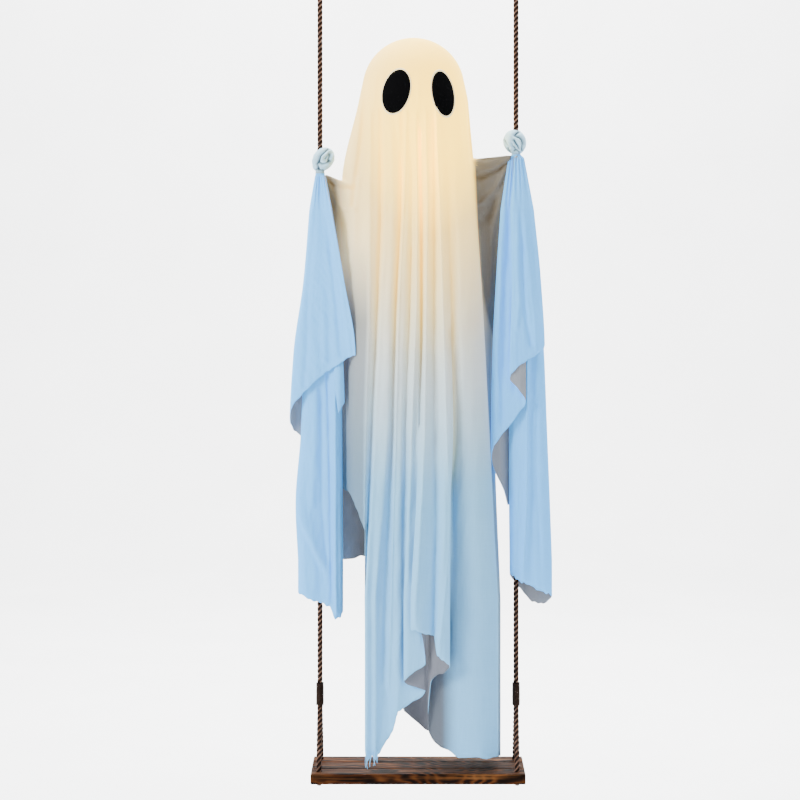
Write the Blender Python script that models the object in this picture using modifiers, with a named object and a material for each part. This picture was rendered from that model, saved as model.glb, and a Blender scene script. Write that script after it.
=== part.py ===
"""A swinging ghost decoration: a lit, cloth-draped ghost on a plank swing that hangs on two ropes.

Metres, +Z up. The origin lies midway between the two screw hooks, in the underside of the beam.
The ghost faces -Y. Blender 4.5.
"""
import math

import bmesh
import bpy
from mathutils import Matrix, Vector
from mathutils.bvhtree import BVHTree

# Driving dimensions
METRES_PER_PIXEL = 0.001653      # the photograph's scale in the plane of the ropes
VIEW_DISTANCE = 3.5              # from there, what hangs nearer looks larger
VIEW_CENTRE_PIXEL = (414.0, 231.0)   # the photograph's vanishing point
SWING_CENTRE_PIXEL = 418.0       # the middle of the swing, across
FRAME_TOP_DROP = 0.179           # from the beam down to the photograph's upper edge

GAP = 0.0003                     # between pieces that touch
OVERRUN = 0.002                  # by which a cutter passes the faces that it cuts

ROPE_DIAMETER = 0.009
ROPE_SPAN = 0.324                # between the two ropes' centres
HOOK_WIRE = 0.006
HOOK_BEND_RADIUS = 0.018
HOOK_NECK = 0.005
COLLAR_RADIUS = 0.009
COLLAR_THICKNESS = 0.003
SHANK_LENGTH = 0.034
EYE_BEND_RADIUS = 0.016
EYE_LENGTH = 0.062               # from the hook's wire to the eye's seizing
EYE_SEIZING_LENGTH = 0.024
ROPE_TAIL = 0.012                # cut end below the eye's seizing
SEIZING_WALL = 0.0016
SEIZING_LENGTH = 0.037

BOARD_OVERHANG = 0.013           # from a rope's centre to the board's end
BOARD_DEPTH = 0.120
BOARD_THICKNESS = 0.017
BOARD_EDGE = 0.002
BOARD_TOP_DROP = 1.4436          # from the beam down to the board's top
GROOVE_SPACING = 0.042
GROOVE_WIDTH = 0.005
GROOVE_DEPTH = 0.0022
HOLE_DIAMETER = 0.0102
HOLE_SPACING = 0.080             # front hole to back hole
SEAT_LEG_HEIGHT = 0.100          # from the board's top to the seizing

BAR_DIAMETER = 0.012
BAR_DROP = 0.4964
CLIP_WIDTH = 0.008
CLIP_WALL = 0.0025
TUBE_DIAMETER = 0.016
TUBE_WALL = 0.0015
TEE_WALL = 0.003
TEE_LENGTH = 0.044
HEAD_RADIUS = 0.0805
HEAD_WALL = 0.0016
HEAD_CENTRE_DROP = 0.3261
HEAD_CENTRE_PIXEL = 413.5
HEAD_MOUTH_RADIUS = 0.026
LAMP_BASE_RADIUS = 0.034
LAMP_BASE_HEIGHT = 0.016
LAMP_DOME_RADIUS = 0.017
LAMP_DOME_HEIGHT = 0.038

CELL_DIAMETER = 0.0105
CELL_LENGTH = 0.0445
CELL_COUNT = 3
CONTACT_ROOM = 0.0083            # under the cells, for their coil contacts
SWITCH_ROOM = 0.00625            # beside the cells, for the switch
CELL_CLEARANCE = 0.00475         # before and behind the cells, with the walls
BOX_WALL = 0.0018
PEG_DIAMETER = 0.010
PEG_LENGTH = 0.012
DOOR_THICKNESS = 0.002
DOOR_HINGE_RADIUS = 0.0016
SCREW_DIAMETER = 0.004
SCREW_HEAD = 0.0012
SLIDER_WIDTH = 0.005
SLIDER_HEIGHT = 0.004
SLIDER_TRAVEL = 0.003

CLOTH_THICKNESS = 0.0012
EYE_PATCH_THICKNESS = 0.0012
EYE_LIFT = 0.0009                # the felt's corners off the cloth, so that it clears the folds between them
KNOT_WIDTH = 0.034
KNOT_HEIGHT = 0.038
KNOT_BAND = 0.006                # half the width of a turn of cloth in the knot

PARTS_NAME = "swinging_ghost"

for old in list(bpy.data.objects):
    bpy.data.objects.remove(old, do_unlink=True)
parts = bpy.data.collections.new(PARTS_NAME)
cutters = bpy.data.collections.new("cutters")
bpy.context.scene.collection.children.link(parts)
bpy.context.scene.collection.children.link(cutters)


# Materials

def material(name, colour, roughness, metallic=0.0):
    """A plain Principled finish, made once under its name."""
    found = bpy.data.materials.get(name)
    if found:
        return found
    made = bpy.data.materials.new(name)
    made.use_nodes = True
    shader = made.node_tree.nodes["Principled BSDF"]
    shader.inputs["Base Color"].default_value = (*colour, 1.0)
    shader.inputs["Roughness"].default_value = roughness
    shader.inputs["Metallic"].default_value = metallic
    return made


WHITE_CLOTH = material("white_cloth", (0.72, 0.84, 0.93), 0.8)
BLACK_FELT = material("black_felt", (0.004, 0.004, 0.004), 0.9)
BROWN_ROPE = material("brown_rope", (0.075, 0.035, 0.02), 0.8)
DARK_TWINE = material("dark_twine", (0.045, 0.022, 0.014), 0.75)
BURNT_PINE = material("burnt_pine", (0.09, 0.035, 0.018), 0.5)
ZINC_STEEL = material("zinc_steel", (0.55, 0.55, 0.56), 0.35, 1.0)
WHITE_PLASTIC = material("white_plastic", (0.8, 0.8, 0.78), 0.4)
MILKY_GLOBE = material("milky_globe", (0.9, 0.88, 0.8), 0.35)
WARM_DOME = material("warm_dome", (1.0, 0.75, 0.4), 0.3)
BLACK_PLASTIC = material("black_plastic", (0.02, 0.02, 0.022), 0.4)
CELL_SLEEVE = material("cell_sleeve", (0.1, 0.1, 0.11), 0.3)


# Making and cutting pieces

def show(name, mesh, finish, place=Matrix.Identity(4), smooth=True):
    """Link a mesh as a named sub-part with its finish."""
    piece = bpy.data.objects.new(name, mesh)
    mesh.materials.clear()
    mesh.materials.append(finish)
    parts.objects.link(piece)
    piece.matrix_world = place
    if smooth:
        mesh.shade_smooth()
        mesh.set_sharp_from_angle(angle=math.radians(35))
    return piece


def mesh_from(build):
    """A mesh from a function that fills a bmesh."""
    shape = bmesh.new()
    build(shape)
    mesh = bpy.data.meshes.new("shape")
    shape.to_mesh(mesh)
    shape.free()
    return mesh


def block_mesh(size):
    """A box of the given size about the origin."""
    return mesh_from(lambda shape: bmesh.ops.create_cube(
        shape, size=1.0, matrix=Matrix.Diagonal((*size, 1.0))))


def rod_mesh(radius, length, sides=24, top_radius=None):
    """A round rod or cone about the origin, along Z."""
    upper = radius if top_radius is None else top_radius
    return mesh_from(lambda shape: bmesh.ops.create_cone(
        shape, cap_ends=True, segments=sides, radius1=radius, radius2=upper, depth=length))


def ball_mesh(radii, segments=24, rings=14):
    """An ellipsoid about the origin."""
    return mesh_from(lambda shape: bmesh.ops.create_uvsphere(
        shape, u_segments=segments, v_segments=rings, radius=1.0, matrix=Matrix.Diagonal((*radii, 1.0))))


def cutter(mesh, place):
    """A hidden cutter or joiner."""
    piece = bpy.data.objects.new("cutter", mesh)
    cutters.objects.link(piece)
    piece.matrix_world = place
    piece.hide_render = True
    piece.display_type = "WIRE"
    return piece


def combine(piece, tools, operation="DIFFERENCE"):
    """Cut each tool from the piece, or join it on."""
    for tool in tools:
        step = piece.modifiers.new("combine", "BOOLEAN")
        step.operation = operation
        step.solver = "EXACT"
        step.object = tool
    return piece


def bake(piece):
    """Apply the piece's modifiers, and weld the seams that they leave."""
    bpy.context.view_layer.update()
    view = piece.evaluated_get(bpy.context.evaluated_depsgraph_get())
    mesh = bpy.data.meshes.new_from_object(view)
    piece.modifiers.clear()
    shape = bmesh.new()
    shape.from_mesh(mesh)
    bmesh.ops.remove_doubles(shape, verts=shape.verts, dist=GAP / 30)
    shape.to_mesh(mesh)
    shape.free()
    piece.data = mesh
    return piece


def bevel(piece, width, segments=2):
    """Rounded edges."""
    step = piece.modifiers.new("bevel", "BEVEL")
    step.width = width
    step.segments = segments
    step.limit_method = "ANGLE"
    return piece


def turned(name, profile, finish, place, steps=32):
    """A turned piece: the profile's (radius, height) points run down its outer side."""
    mesh = bpy.data.meshes.new(name)
    points = [(radius, 0.0, height) for radius, height in profile]
    edges = [(number, number + 1) for number in range(len(points) - 1)]
    mesh.from_pydata(points, edges, [])
    piece = show(name, mesh, finish, place, smooth=False)
    screw = piece.modifiers.new("screw", "SCREW")
    screw.steps = steps
    screw.render_steps = steps
    screw.use_merge_vertices = True
    screw.merge_threshold = GAP / 30
    bake(piece)
    piece.data.shade_smooth()
    piece.data.set_sharp_from_angle(angle=math.radians(35))
    return piece


def smooth_route(points, per_span):
    """Points read from a smooth curve through the route's own points."""
    ends = [points[0]] + list(points) + [points[-1]]
    route = []
    for number in range(len(points) - 1):
        before, start, stop, after = (Vector(point) for point in ends[number:number + 4])
        for part in range(per_span):
            t = part / per_span
            route.append(0.5 * (
                2 * start + (stop - before) * t + (2 * before - 5 * start + 4 * stop - after) * t * t
                + (3 * start - before - 3 * stop + after) * t ** 3))
    route.append(Vector(points[-1]))
    return route


def tube(name, route, diameter, finish, resolution=2):
    """A round rope or wire along a route, as a closed mesh."""
    curve = bpy.data.curves.new(name, "CURVE")
    curve.dimensions = "3D"
    curve.bevel_depth = diameter / 2
    curve.bevel_resolution = resolution
    curve.use_fill_caps = True
    spline = curve.splines.new("POLY")
    spline.points.add(len(route) - 1)
    for place, point in zip(spline.points, route):
        place.co = (*point, 1.0)
    guide = bpy.data.objects.new(name, curve)
    parts.objects.link(guide)
    bpy.context.view_layer.update()
    mesh = bpy.data.meshes.new_from_object(guide.evaluated_get(bpy.context.evaluated_depsgraph_get()))
    where = guide.matrix_world.copy()
    bpy.data.objects.remove(guide, do_unlink=True)
    shape = bmesh.new()
    shape.from_mesh(mesh)
    bmesh.ops.remove_doubles(shape, verts=shape.verts, dist=GAP / 30)
    bmesh.ops.recalc_face_normals(shape, faces=shape.faces)
    shape.to_mesh(mesh)
    shape.free()
    return show(name, mesh, finish, where)


def at(x, y, z):
    """A place without a turn."""
    return Matrix.Translation((x, y, z))


def photo_place(across, down, toward):
    """The world place of a pixel of the photograph, this many pixels nearer than the ropes' plane."""
    nearer = toward * METRES_PER_PIXEL
    shrink = METRES_PER_PIXEL * (VIEW_DISTANCE - nearer) / VIEW_DISTANCE
    left = (VIEW_CENTRE_PIXEL[0] - SWING_CENTRE_PIXEL) * METRES_PER_PIXEL
    top = -FRAME_TOP_DROP - VIEW_CENTRE_PIXEL[1] * METRES_PER_PIXEL
    return Vector((
        left + (across - VIEW_CENTRE_PIXEL[0]) * shrink, -nearer,
        top - (down - VIEW_CENTRE_PIXEL[1]) * shrink))


def plain_place(across, down, toward):
    """The same without the view's narrowing, for what is round about the ropes' plane."""
    return Vector((
        (across - SWING_CENTRE_PIXEL) * METRES_PER_PIXEL, -toward * METRES_PER_PIXEL,
        -FRAME_TOP_DROP - down * METRES_PER_PIXEL))


# Hooks, ropes and their seizings

ROPE_RADIUS = ROPE_DIAMETER / 2
HOOK_AXIS = -(COLLAR_THICKNESS + HOOK_NECK + 2 * HOOK_BEND_RADIUS)
TILT_AXIS = -BOARD_TOP_DROP + SEAT_LEG_HEIGHT + SEIZING_LENGTH
STRAND_OFFSET = ROPE_RADIUS + GAP / 2        # two rope parts side by side
BOARD_LENGTH = ROPE_SPAN + 2 * BOARD_OVERHANG
BOARD_TOP = -BOARD_TOP_DROP
BOARD_BOTTOM = BOARD_TOP - BOARD_THICKNESS
UNDER_BEND_RADIUS = 2 * ROPE_RADIUS          # of the rope's bend under the board
SIDES = (("left", -1), ("right", 1))


def arc(centre, radius, start, stop, steps):
    """Points on an arc in the YZ plane, with angles from +Y towards +Z, in degrees."""
    x, y, z = centre
    points = []
    for number in range(steps + 1):
        angle = math.radians(start + (stop - start) * number / steps)
        points.append((x, y + radius * math.cos(angle), z + radius * math.sin(angle)))
    return points


def loft_mesh(rings):
    """A closed solid through rings of points, each ring running the same way round."""
    def build(shape):
        rows = [[shape.verts.new(point) for point in ring] for ring in rings]
        count = len(rows[0])
        for upper, lower in zip(rows, rows[1:]):
            for number in range(count):
                after = (number + 1) % count
                shape.faces.new((upper[number], upper[after], lower[after], lower[number]))
        shape.faces.new(rows[0])
        shape.faces.new(rows[-1])
        bmesh.ops.recalc_face_normals(shape, faces=shape.faces)
    return mesh_from(build)


def oval_ring(x, z, half_width, half_length, count=16):
    """A ring with round ends, half_length along Y."""
    straight = half_length - half_width
    ring = []
    for number in range(count):
        angle = math.tau * (number + 0.5) / count
        side = math.copysign(straight, math.sin(angle))
        ring.append((x + half_width * math.cos(angle), side + half_width * math.sin(angle), z))
    return ring


def bound_sleeve(name, x, top, length, half_width, top_half_length, bottom_half_length, turns):
    """Twine bound tightly round the rope parts: one ridge for every few turns."""
    rings = []
    rows = 2 * turns
    ridge = SEIZING_WALL / 4
    for row in range(rows + 1):
        share = row / rows
        swell = ridge if row % 2 else -ridge
        half_length = top_half_length + (bottom_half_length - top_half_length) * min(1.0, 2 * share)
        rings.append(oval_ring(x, top - length * share, half_width + swell, half_length + swell))
    return show(name, loft_mesh(rings), DARK_TWINE)


def make_hook(name, x):
    """A screw hook: tapered shank, collar and a round bend, in one piece."""
    wire = HOOK_WIRE / 2
    profile = (
        (0, SHANK_LENGTH), (wire / 3, SHANK_LENGTH - wire), (wire, SHANK_LENGTH / 2), (wire, 0),
        (COLLAR_RADIUS, 0), (COLLAR_RADIUS, -COLLAR_THICKNESS), (0, -COLLAR_THICKNESS))
    hook = turned(name, profile, ZINC_STEEL, at(x, 0, 0), steps=24)
    bend_centre = HOOK_AXIS + HOOK_BEND_RADIUS
    route = [(x, 0, -COLLAR_THICKNESS / 2), (x, 0, -COLLAR_THICKNESS)]
    for number in range(21):
        angle = math.radians(90 - 300 * number / 20)
        route.append((
            x + HOOK_BEND_RADIUS * math.cos(angle), 0, bend_centre + HOOK_BEND_RADIUS * math.sin(angle)))
    bend = tube("bend", route, HOOK_WIRE, ZINC_STEEL)
    parts.objects.unlink(bend)
    cutters.objects.link(bend)
    bend.hide_render = True
    bend.display_type = "WIRE"
    return bake(combine(hook, [bend], "UNION"))


def make_rope(name, x):
    """A rope from its cut end through its eye on the hook, and down to where it flexes at the seizing."""
    seat_of_eye = HOOK_WIRE / 2 + GAP + ROPE_RADIUS
    eye_centre = HOOK_AXIS + seat_of_eye - EYE_BEND_RADIUS
    neck = HOOK_AXIS - EYE_LENGTH
    bottom = neck - EYE_SEIZING_LENGTH
    side = STRAND_OFFSET
    widest = EYE_BEND_RADIUS
    quarter = EYE_LENGTH / 4
    up = [
        (x, side, bottom - ROPE_TAIL), (x, side, bottom), (x, side, neck),
        (x, side + quarter / 8, neck + quarter / 4), (x, (side + widest) / 2, neck + quarter),
        (x, widest * 0.95, neck + 2 * quarter)]
    over = arc((x, 0, eye_centre), EYE_BEND_RADIUS, -8, 188, 12)
    down = [(x, -y, z) for _, y, z in reversed(up)][:-1]
    tail = ROPE_DIAMETER * 2
    flex = TILT_AXIS
    lower = [
        (x, -side * 0.85, bottom - tail / 2), (x, -side * 0.3, bottom - 2 * tail),
        (x, 0, bottom - 3.5 * tail)]
    route = smooth_route(up, 3)[:-1] + [Vector(point) for point in over] + smooth_route(down + lower, 3)[1:]
    straight = 12
    start = lower[-1][2]
    for number in range(1, straight + 1):
        route.append(Vector((x, 0, start + (flex - start) * number / straight)))
    rope = tube(name, route, ROPE_DIAMETER, BROWN_ROPE)
    tip = cutter(ball_mesh((ROPE_RADIUS,) * 3, 16, 8), at(x, 0, flex))
    return bake(combine(rope, [tip], "UNION"))


def make_eye_seizing(name, x):
    """The twine round the eye's two rope parts."""
    top = HOOK_AXIS - EYE_LENGTH
    bore = ROPE_RADIUS + GAP
    half_width = bore + SEIZING_WALL
    half_length = half_width + STRAND_OFFSET
    sleeve = bound_sleeve(name, x, top, EYE_SEIZING_LENGTH, half_width, half_length, half_length, 4)
    hole = rod_mesh(bore, EYE_SEIZING_LENGTH + 2 * OVERRUN, 16)
    middle = top - EYE_SEIZING_LENGTH / 2
    holes = [cutter(hole.copy(), at(x, side * STRAND_OFFSET, middle)) for side in (-1, 1)]
    return bake(combine(sleeve, holes))


def make_seizing(name, x):
    """The twine round the seat's two legs, with a round seat on top in which the rope flexes."""
    bore = ROPE_RADIUS + GAP
    half_width = bore + SEIZING_WALL
    sleeve = bound_sleeve(
        name, x, TILT_AXIS, SEIZING_LENGTH, half_width, half_width, half_width + STRAND_OFFSET, 5)
    socket = cutter(ball_mesh((bore,) * 3, 16, 8), at(x, 0, TILT_AXIS))
    leg = SEIZING_LENGTH - 2 * ROPE_DIAMETER
    hole = rod_mesh(bore, leg + OVERRUN, 16)
    bottom = TILT_AXIS - SEIZING_LENGTH
    holes = [
        cutter(hole.copy(), at(x, side * STRAND_OFFSET, bottom + (leg - OVERRUN) / 2)) for side in (-1, 1)]
    return bake(combine(sleeve, [socket] + holes))


def make_seat_rope(name, x):
    """The rope's lower length: down the front leg, under the board and up the back leg."""
    bottom = TILT_AXIS - SEIZING_LENGTH
    inside = SEIZING_LENGTH - 2 * ROPE_DIAMETER - GAP
    hole = HOLE_SPACING / 2
    lean = SEAT_LEG_HEIGHT / 8
    bend_height = BOARD_BOTTOM - ROPE_RADIUS - GAP + UNDER_BEND_RADIUS
    leg = [
        (x, STRAND_OFFSET, bottom + inside), (x, STRAND_OFFSET, bottom + inside / 2),
        (x, STRAND_OFFSET, bottom),
        (x, STRAND_OFFSET * 1.2, bottom - lean / 2), (x, hole * 0.26, bottom - 1.5 * lean),
        (x, hole * 0.62, BOARD_TOP + 3.7 * lean), (x, hole * 0.97, BOARD_TOP + lean),
        (x, hole, BOARD_TOP), (x, hole, BOARD_TOP - BOARD_THICKNESS / 2)]
    back = [(x, -y, z) for _, y, z in leg]
    centre = hole - UNDER_BEND_RADIUS
    front_bend = arc((x, -centre, bend_height), UNDER_BEND_RADIUS, 180, 270, 6)
    back_bend = arc((x, centre, bend_height), UNDER_BEND_RADIUS, 270, 360, 6)
    route = smooth_route(back, 2) + [Vector(point) for point in front_bend + back_bend]
    route += list(reversed(smooth_route(leg, 2)))
    return tube(name, route, ROPE_DIAMETER, BROWN_ROPE)


def make_board():
    """The plank: rounded edges, two V grooves along its top, and four rope holes eased below."""
    middle = BOARD_TOP - BOARD_THICKNESS / 2
    plank = block_mesh((BOARD_LENGTH, BOARD_DEPTH, BOARD_THICKNESS))
    board = show("seat_board", plank, BURNT_PINE, at(0, 0, middle))
    bevel(board, BOARD_EDGE)
    tools = []
    groove = math.sqrt(0.5)
    for side in (-1, 1):
        mesh = block_mesh((BOARD_LENGTH + 2 * OVERRUN, 2 * groove, 2 * groove))
        mesh.transform(Matrix.Rotation(math.radians(45), 4, "X"))
        mesh.transform(Matrix.Diagonal((1, GROOVE_WIDTH / 2, GROOVE_DEPTH, 1)))
        tools.append(cutter(mesh, at(0, side * GROOVE_SPACING / 2, BOARD_TOP)))
    eased = UNDER_BEND_RADIUS - ROPE_RADIUS - GAP
    for _, end in SIDES:
        for side in (-1, 1):
            x = end * ROPE_SPAN / 2
            y = side * HOLE_SPACING / 2
            bore = rod_mesh(HOLE_DIAMETER / 2, BOARD_THICKNESS + 2 * OVERRUN, 20)
            tools.append(cutter(bore, at(x, y, middle)))
            cone = rod_mesh(UNDER_BEND_RADIUS + OVERRUN * 0.9, eased + OVERRUN, 20, HOLE_DIAMETER / 2)
            tools.append(cutter(cone, at(x, y, BOARD_BOTTOM + (eased - OVERRUN) / 2)))
    return bake(combine(board, tools))


for side_name, side in SIDES:
    rope_x = side * ROPE_SPAN / 2
    make_hook("hook_" + side_name, rope_x)
    make_rope("rope_" + side_name, rope_x)
    make_eye_seizing("eye_seizing_" + side_name, rope_x)
    make_seizing("seizing_" + side_name, rope_x)
    make_seat_rope("seat_rope_" + side_name, rope_x)
make_board()


# The ghost's inner frame and lamp

BAR_Z = -BAR_DROP
HEAD_X = (HEAD_CENTRE_PIXEL - SWING_CENTRE_PIXEL) * METRES_PER_PIXEL
HEAD_Z = -HEAD_CENTRE_DROP
ROPE_BORE = ROPE_RADIUS + GAP
BAR_BORE = BAR_DIAMETER / 2 + GAP
CLIP_RADIUS = ROPE_BORE + CLIP_WALL
CLIP_REACH = 2 * CLIP_RADIUS + CLIP_WIDTH / 2    # from the rope's centre to the socket's open end
HEAD_MOUTH_DROP = math.sqrt(HEAD_RADIUS ** 2 - HEAD_MOUTH_RADIUS ** 2)
COLLAR_HEIGHT = 4 * HEAD_WALL
LAMP_FLANGE = HEAD_Z - HEAD_MOUTH_DROP - COLLAR_HEIGHT - GAP
TUBE_TOP = LAMP_FLANGE - LAMP_BASE_HEIGHT / 2
TUBE_BOTTOM = BAR_Z + BAR_BORE + TEE_WALL
QUARTER_TURN = math.radians(90)


def lying(x, y, z):
    """A place turned so that the piece's Z runs along +X."""
    return at(x, y, z) @ Matrix.Rotation(QUARTER_TURN, 4, "Y")


def make_bar():
    """The dowel, which reaches into both clips."""
    length = ROPE_SPAN - 2 * (ROPE_BORE + CLIP_WALL / 2 + GAP)
    rod = rod_mesh(BAR_DIAMETER / 2, length)
    show("shoulder_bar", rod, BLACK_PLASTIC, lying(0, 0, BAR_Z))


def make_bar_clip(name, side):
    """A moulded clip: an open ring that snaps round the rope, and a socket for the bar."""
    x = side * ROPE_SPAN / 2
    clip = show(name, rod_mesh(CLIP_RADIUS, 2 * CLIP_WIDTH), BLACK_PLASTIC, at(x, 0, BAR_Z))
    reach = CLIP_REACH - ROPE_BORE
    socket = cutter(
        rod_mesh(BAR_BORE + CLIP_WALL, reach), lying(x - side * (ROPE_BORE + reach / 2), 0, BAR_Z))
    combine(clip, [socket], "UNION")
    rope_bore = cutter(rod_mesh(ROPE_BORE, 2 * CLIP_WIDTH + 2 * OVERRUN), at(x, 0, BAR_Z))
    depth = reach - CLIP_WALL / 2 + OVERRUN
    bar_bore = cutter(
        rod_mesh(BAR_BORE, depth), lying(x - side * (ROPE_BORE + CLIP_WALL / 2 + depth / 2), 0, BAR_Z))
    mouth = cutter(
        block_mesh((2 * CLIP_RADIUS, ROPE_RADIUS * 1.4, 2 * CLIP_WIDTH + 2 * OVERRUN)),
        at(x + side * CLIP_RADIUS, 0, BAR_Z))
    bake(combine(clip, [rope_bore, bar_bore, mouth]))


def make_tee():
    """The moulded tee: the bar passes through it, the tube stands in it and the battery box hangs in it."""
    outer = TUBE_DIAMETER / 2 + TEE_WALL
    upper = BAR_BORE + TEE_WALL + TUBE_DIAMETER
    lower = BAR_BORE + TEE_WALL + PEG_LENGTH
    tee = show("neck_tee", rod_mesh(BAR_BORE + TEE_WALL, TEE_LENGTH), BLACK_PLASTIC, lying(HEAD_X, 0, BAR_Z))
    stem = cutter(rod_mesh(outer, upper + lower), at(HEAD_X, 0, BAR_Z + (upper - lower) / 2))
    combine(tee, [stem], "UNION")
    through = cutter(rod_mesh(BAR_BORE, TEE_LENGTH + 2 * OVERRUN), lying(HEAD_X, 0, BAR_Z))
    socket = upper - (TUBE_BOTTOM - BAR_Z) + GAP + OVERRUN
    tube_bore = cutter(
        rod_mesh(TUBE_DIAMETER / 2 + GAP, socket), at(HEAD_X, 0, TUBE_BOTTOM - GAP + socket / 2))
    peg_bore = cutter(
        rod_mesh(PEG_DIAMETER / 2 + GAP, PEG_LENGTH + OVERRUN),
        at(HEAD_X, 0, BAR_Z - lower + (PEG_LENGTH - OVERRUN) / 2))
    bake(combine(tee, [through, tube_bore, peg_bore]))


def make_neck_tube():
    """The upright tube, open at both ends."""
    length = TUBE_TOP - TUBE_BOTTOM
    middle = (TUBE_TOP + TUBE_BOTTOM) / 2
    upright = show("neck_tube", rod_mesh(TUBE_DIAMETER / 2, length), WHITE_PLASTIC, at(HEAD_X, 0, middle))
    bore = cutter(rod_mesh(TUBE_DIAMETER / 2 - TUBE_WALL, length + 2 * OVERRUN), at(HEAD_X, 0, middle))
    bake(combine(upright, [bore]))


def make_head_form():
    """The hollow milky globe, open below, with a collar that sits on the lamp's flange."""
    profile = []
    mouth = math.asin(HEAD_MOUTH_RADIUS / HEAD_RADIUS)
    inner = HEAD_RADIUS - HEAD_WALL
    bands = 9
    for number in range(bands + 1):
        angle = (math.pi - mouth) * number / bands
        profile.append((HEAD_RADIUS * math.sin(angle), HEAD_RADIUS * math.cos(angle)))
    profile.append((HEAD_MOUTH_RADIUS, -HEAD_MOUTH_DROP - COLLAR_HEIGHT))
    profile.append((HEAD_MOUTH_RADIUS - HEAD_WALL, -HEAD_MOUTH_DROP - COLLAR_HEIGHT))
    for number in range(bands + 1):
        angle = (math.pi - mouth) * (bands - number) / bands
        profile.append((inner * math.sin(angle), inner * math.cos(angle)))
    profile[0] = (0, HEAD_RADIUS)
    profile[-1] = (0, inner)
    turned("head_form", profile, MILKY_GLOBE, at(HEAD_X, 0, HEAD_Z), steps=28)


def make_lamp():
    """The lamp's round base with its flange and tube socket, its bright disc and its diffuser dome."""
    spigot = HEAD_MOUTH_RADIUS - HEAD_WALL - 2 * GAP
    flange = HEAD_WALL * 2
    profile = (
        (0, COLLAR_HEIGHT), (spigot, COLLAR_HEIGHT), (spigot, 0), (LAMP_BASE_RADIUS, 0),
        (LAMP_BASE_RADIUS, -flange), (LAMP_DOME_RADIUS, -LAMP_BASE_HEIGHT), (0, -LAMP_BASE_HEIGHT))
    base = turned("lamp_base", profile, BLACK_PLASTIC, at(HEAD_X, 0, LAMP_FLANGE))
    depth = LAMP_BASE_HEIGHT / 2 + GAP + OVERRUN
    bore = cutter(
        rod_mesh(TUBE_DIAMETER / 2 + GAP, depth), at(HEAD_X, 0, TUBE_TOP + GAP - depth / 2))
    bake(combine(base, [bore]))
    seat = LAMP_FLANGE + COLLAR_HEIGHT + GAP
    disc = LAMP_DOME_RADIUS - 2 * HEAD_WALL
    show("lamp_disc", rod_mesh(disc, HEAD_WALL), WARM_DOME, at(HEAD_X, 0, seat + HEAD_WALL / 2))
    outer = LAMP_DOME_RADIUS
    straight = LAMP_DOME_HEIGHT - outer
    dome = []
    bands = 4
    for number in range(bands + 1):
        angle = QUARTER_TURN * number / bands
        dome.append((outer * math.sin(angle), straight + outer * math.cos(angle)))
    dome.append((outer, 0))
    dome.append((outer - HEAD_WALL, 0))
    inner = outer - HEAD_WALL
    for number in range(bands + 1):
        angle = QUARTER_TURN * (bands - number) / bands
        dome.append((inner * math.sin(angle), straight + inner * math.cos(angle)))
    dome[0] = (0, straight + outer)
    dome[-1] = (0, straight + inner)
    turned("lamp_dome", dome, WARM_DOME, at(HEAD_X, 0, seat), steps=20)


# The battery box, which hangs under the tee on its peg

BOX_WIDTH = CELL_COUNT * CELL_DIAMETER + 2 * SWITCH_ROOM
BOX_DEPTH = CELL_DIAMETER + 2 * CELL_CLEARANCE
BOX_HEIGHT = CELL_LENGTH + CONTACT_ROOM + 4 * BOX_WALL + SCREW_DIAMETER
BOX_TOP = BAR_Z - BAR_BORE - TEE_WALL - PEG_LENGTH - GAP
BOX_Z = BOX_TOP - BOX_HEIGHT / 2
BOX_BACK = BOX_DEPTH / 2
BARREL_RADIUS = DOOR_HINGE_RADIUS
BOX_LEFT = HEAD_X - BOX_WIDTH / 2
BOX_RIGHT = HEAD_X + BOX_WIDTH / 2
DOOR_AXIS_X = BOX_LEFT + BARREL_RADIUS
DOOR_AXIS_Y = BOX_BACK + GAP + BARREL_RADIUS
PIN_RADIUS = BARREL_RADIUS * 0.4
BARREL_LENGTH = BOX_HEIGHT / 2
EAR_HEIGHT = BOX_HEIGHT / 12
SCREW_X = BOX_RIGHT - SCREW_DIAMETER * 1.5
SCREW_Z = BOX_TOP - BOX_WALL - SCREW_DIAMETER
CAVITY_FLOOR = BOX_TOP - BOX_HEIGHT + BOX_WALL
CAVITY_TOP = BOX_TOP - 3 * BOX_WALL - SCREW_DIAMETER
SLOT_Z = BOX_Z + BOX_HEIGHT / 8
SLIDER_INNER = CELL_DIAMETER / 5


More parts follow.
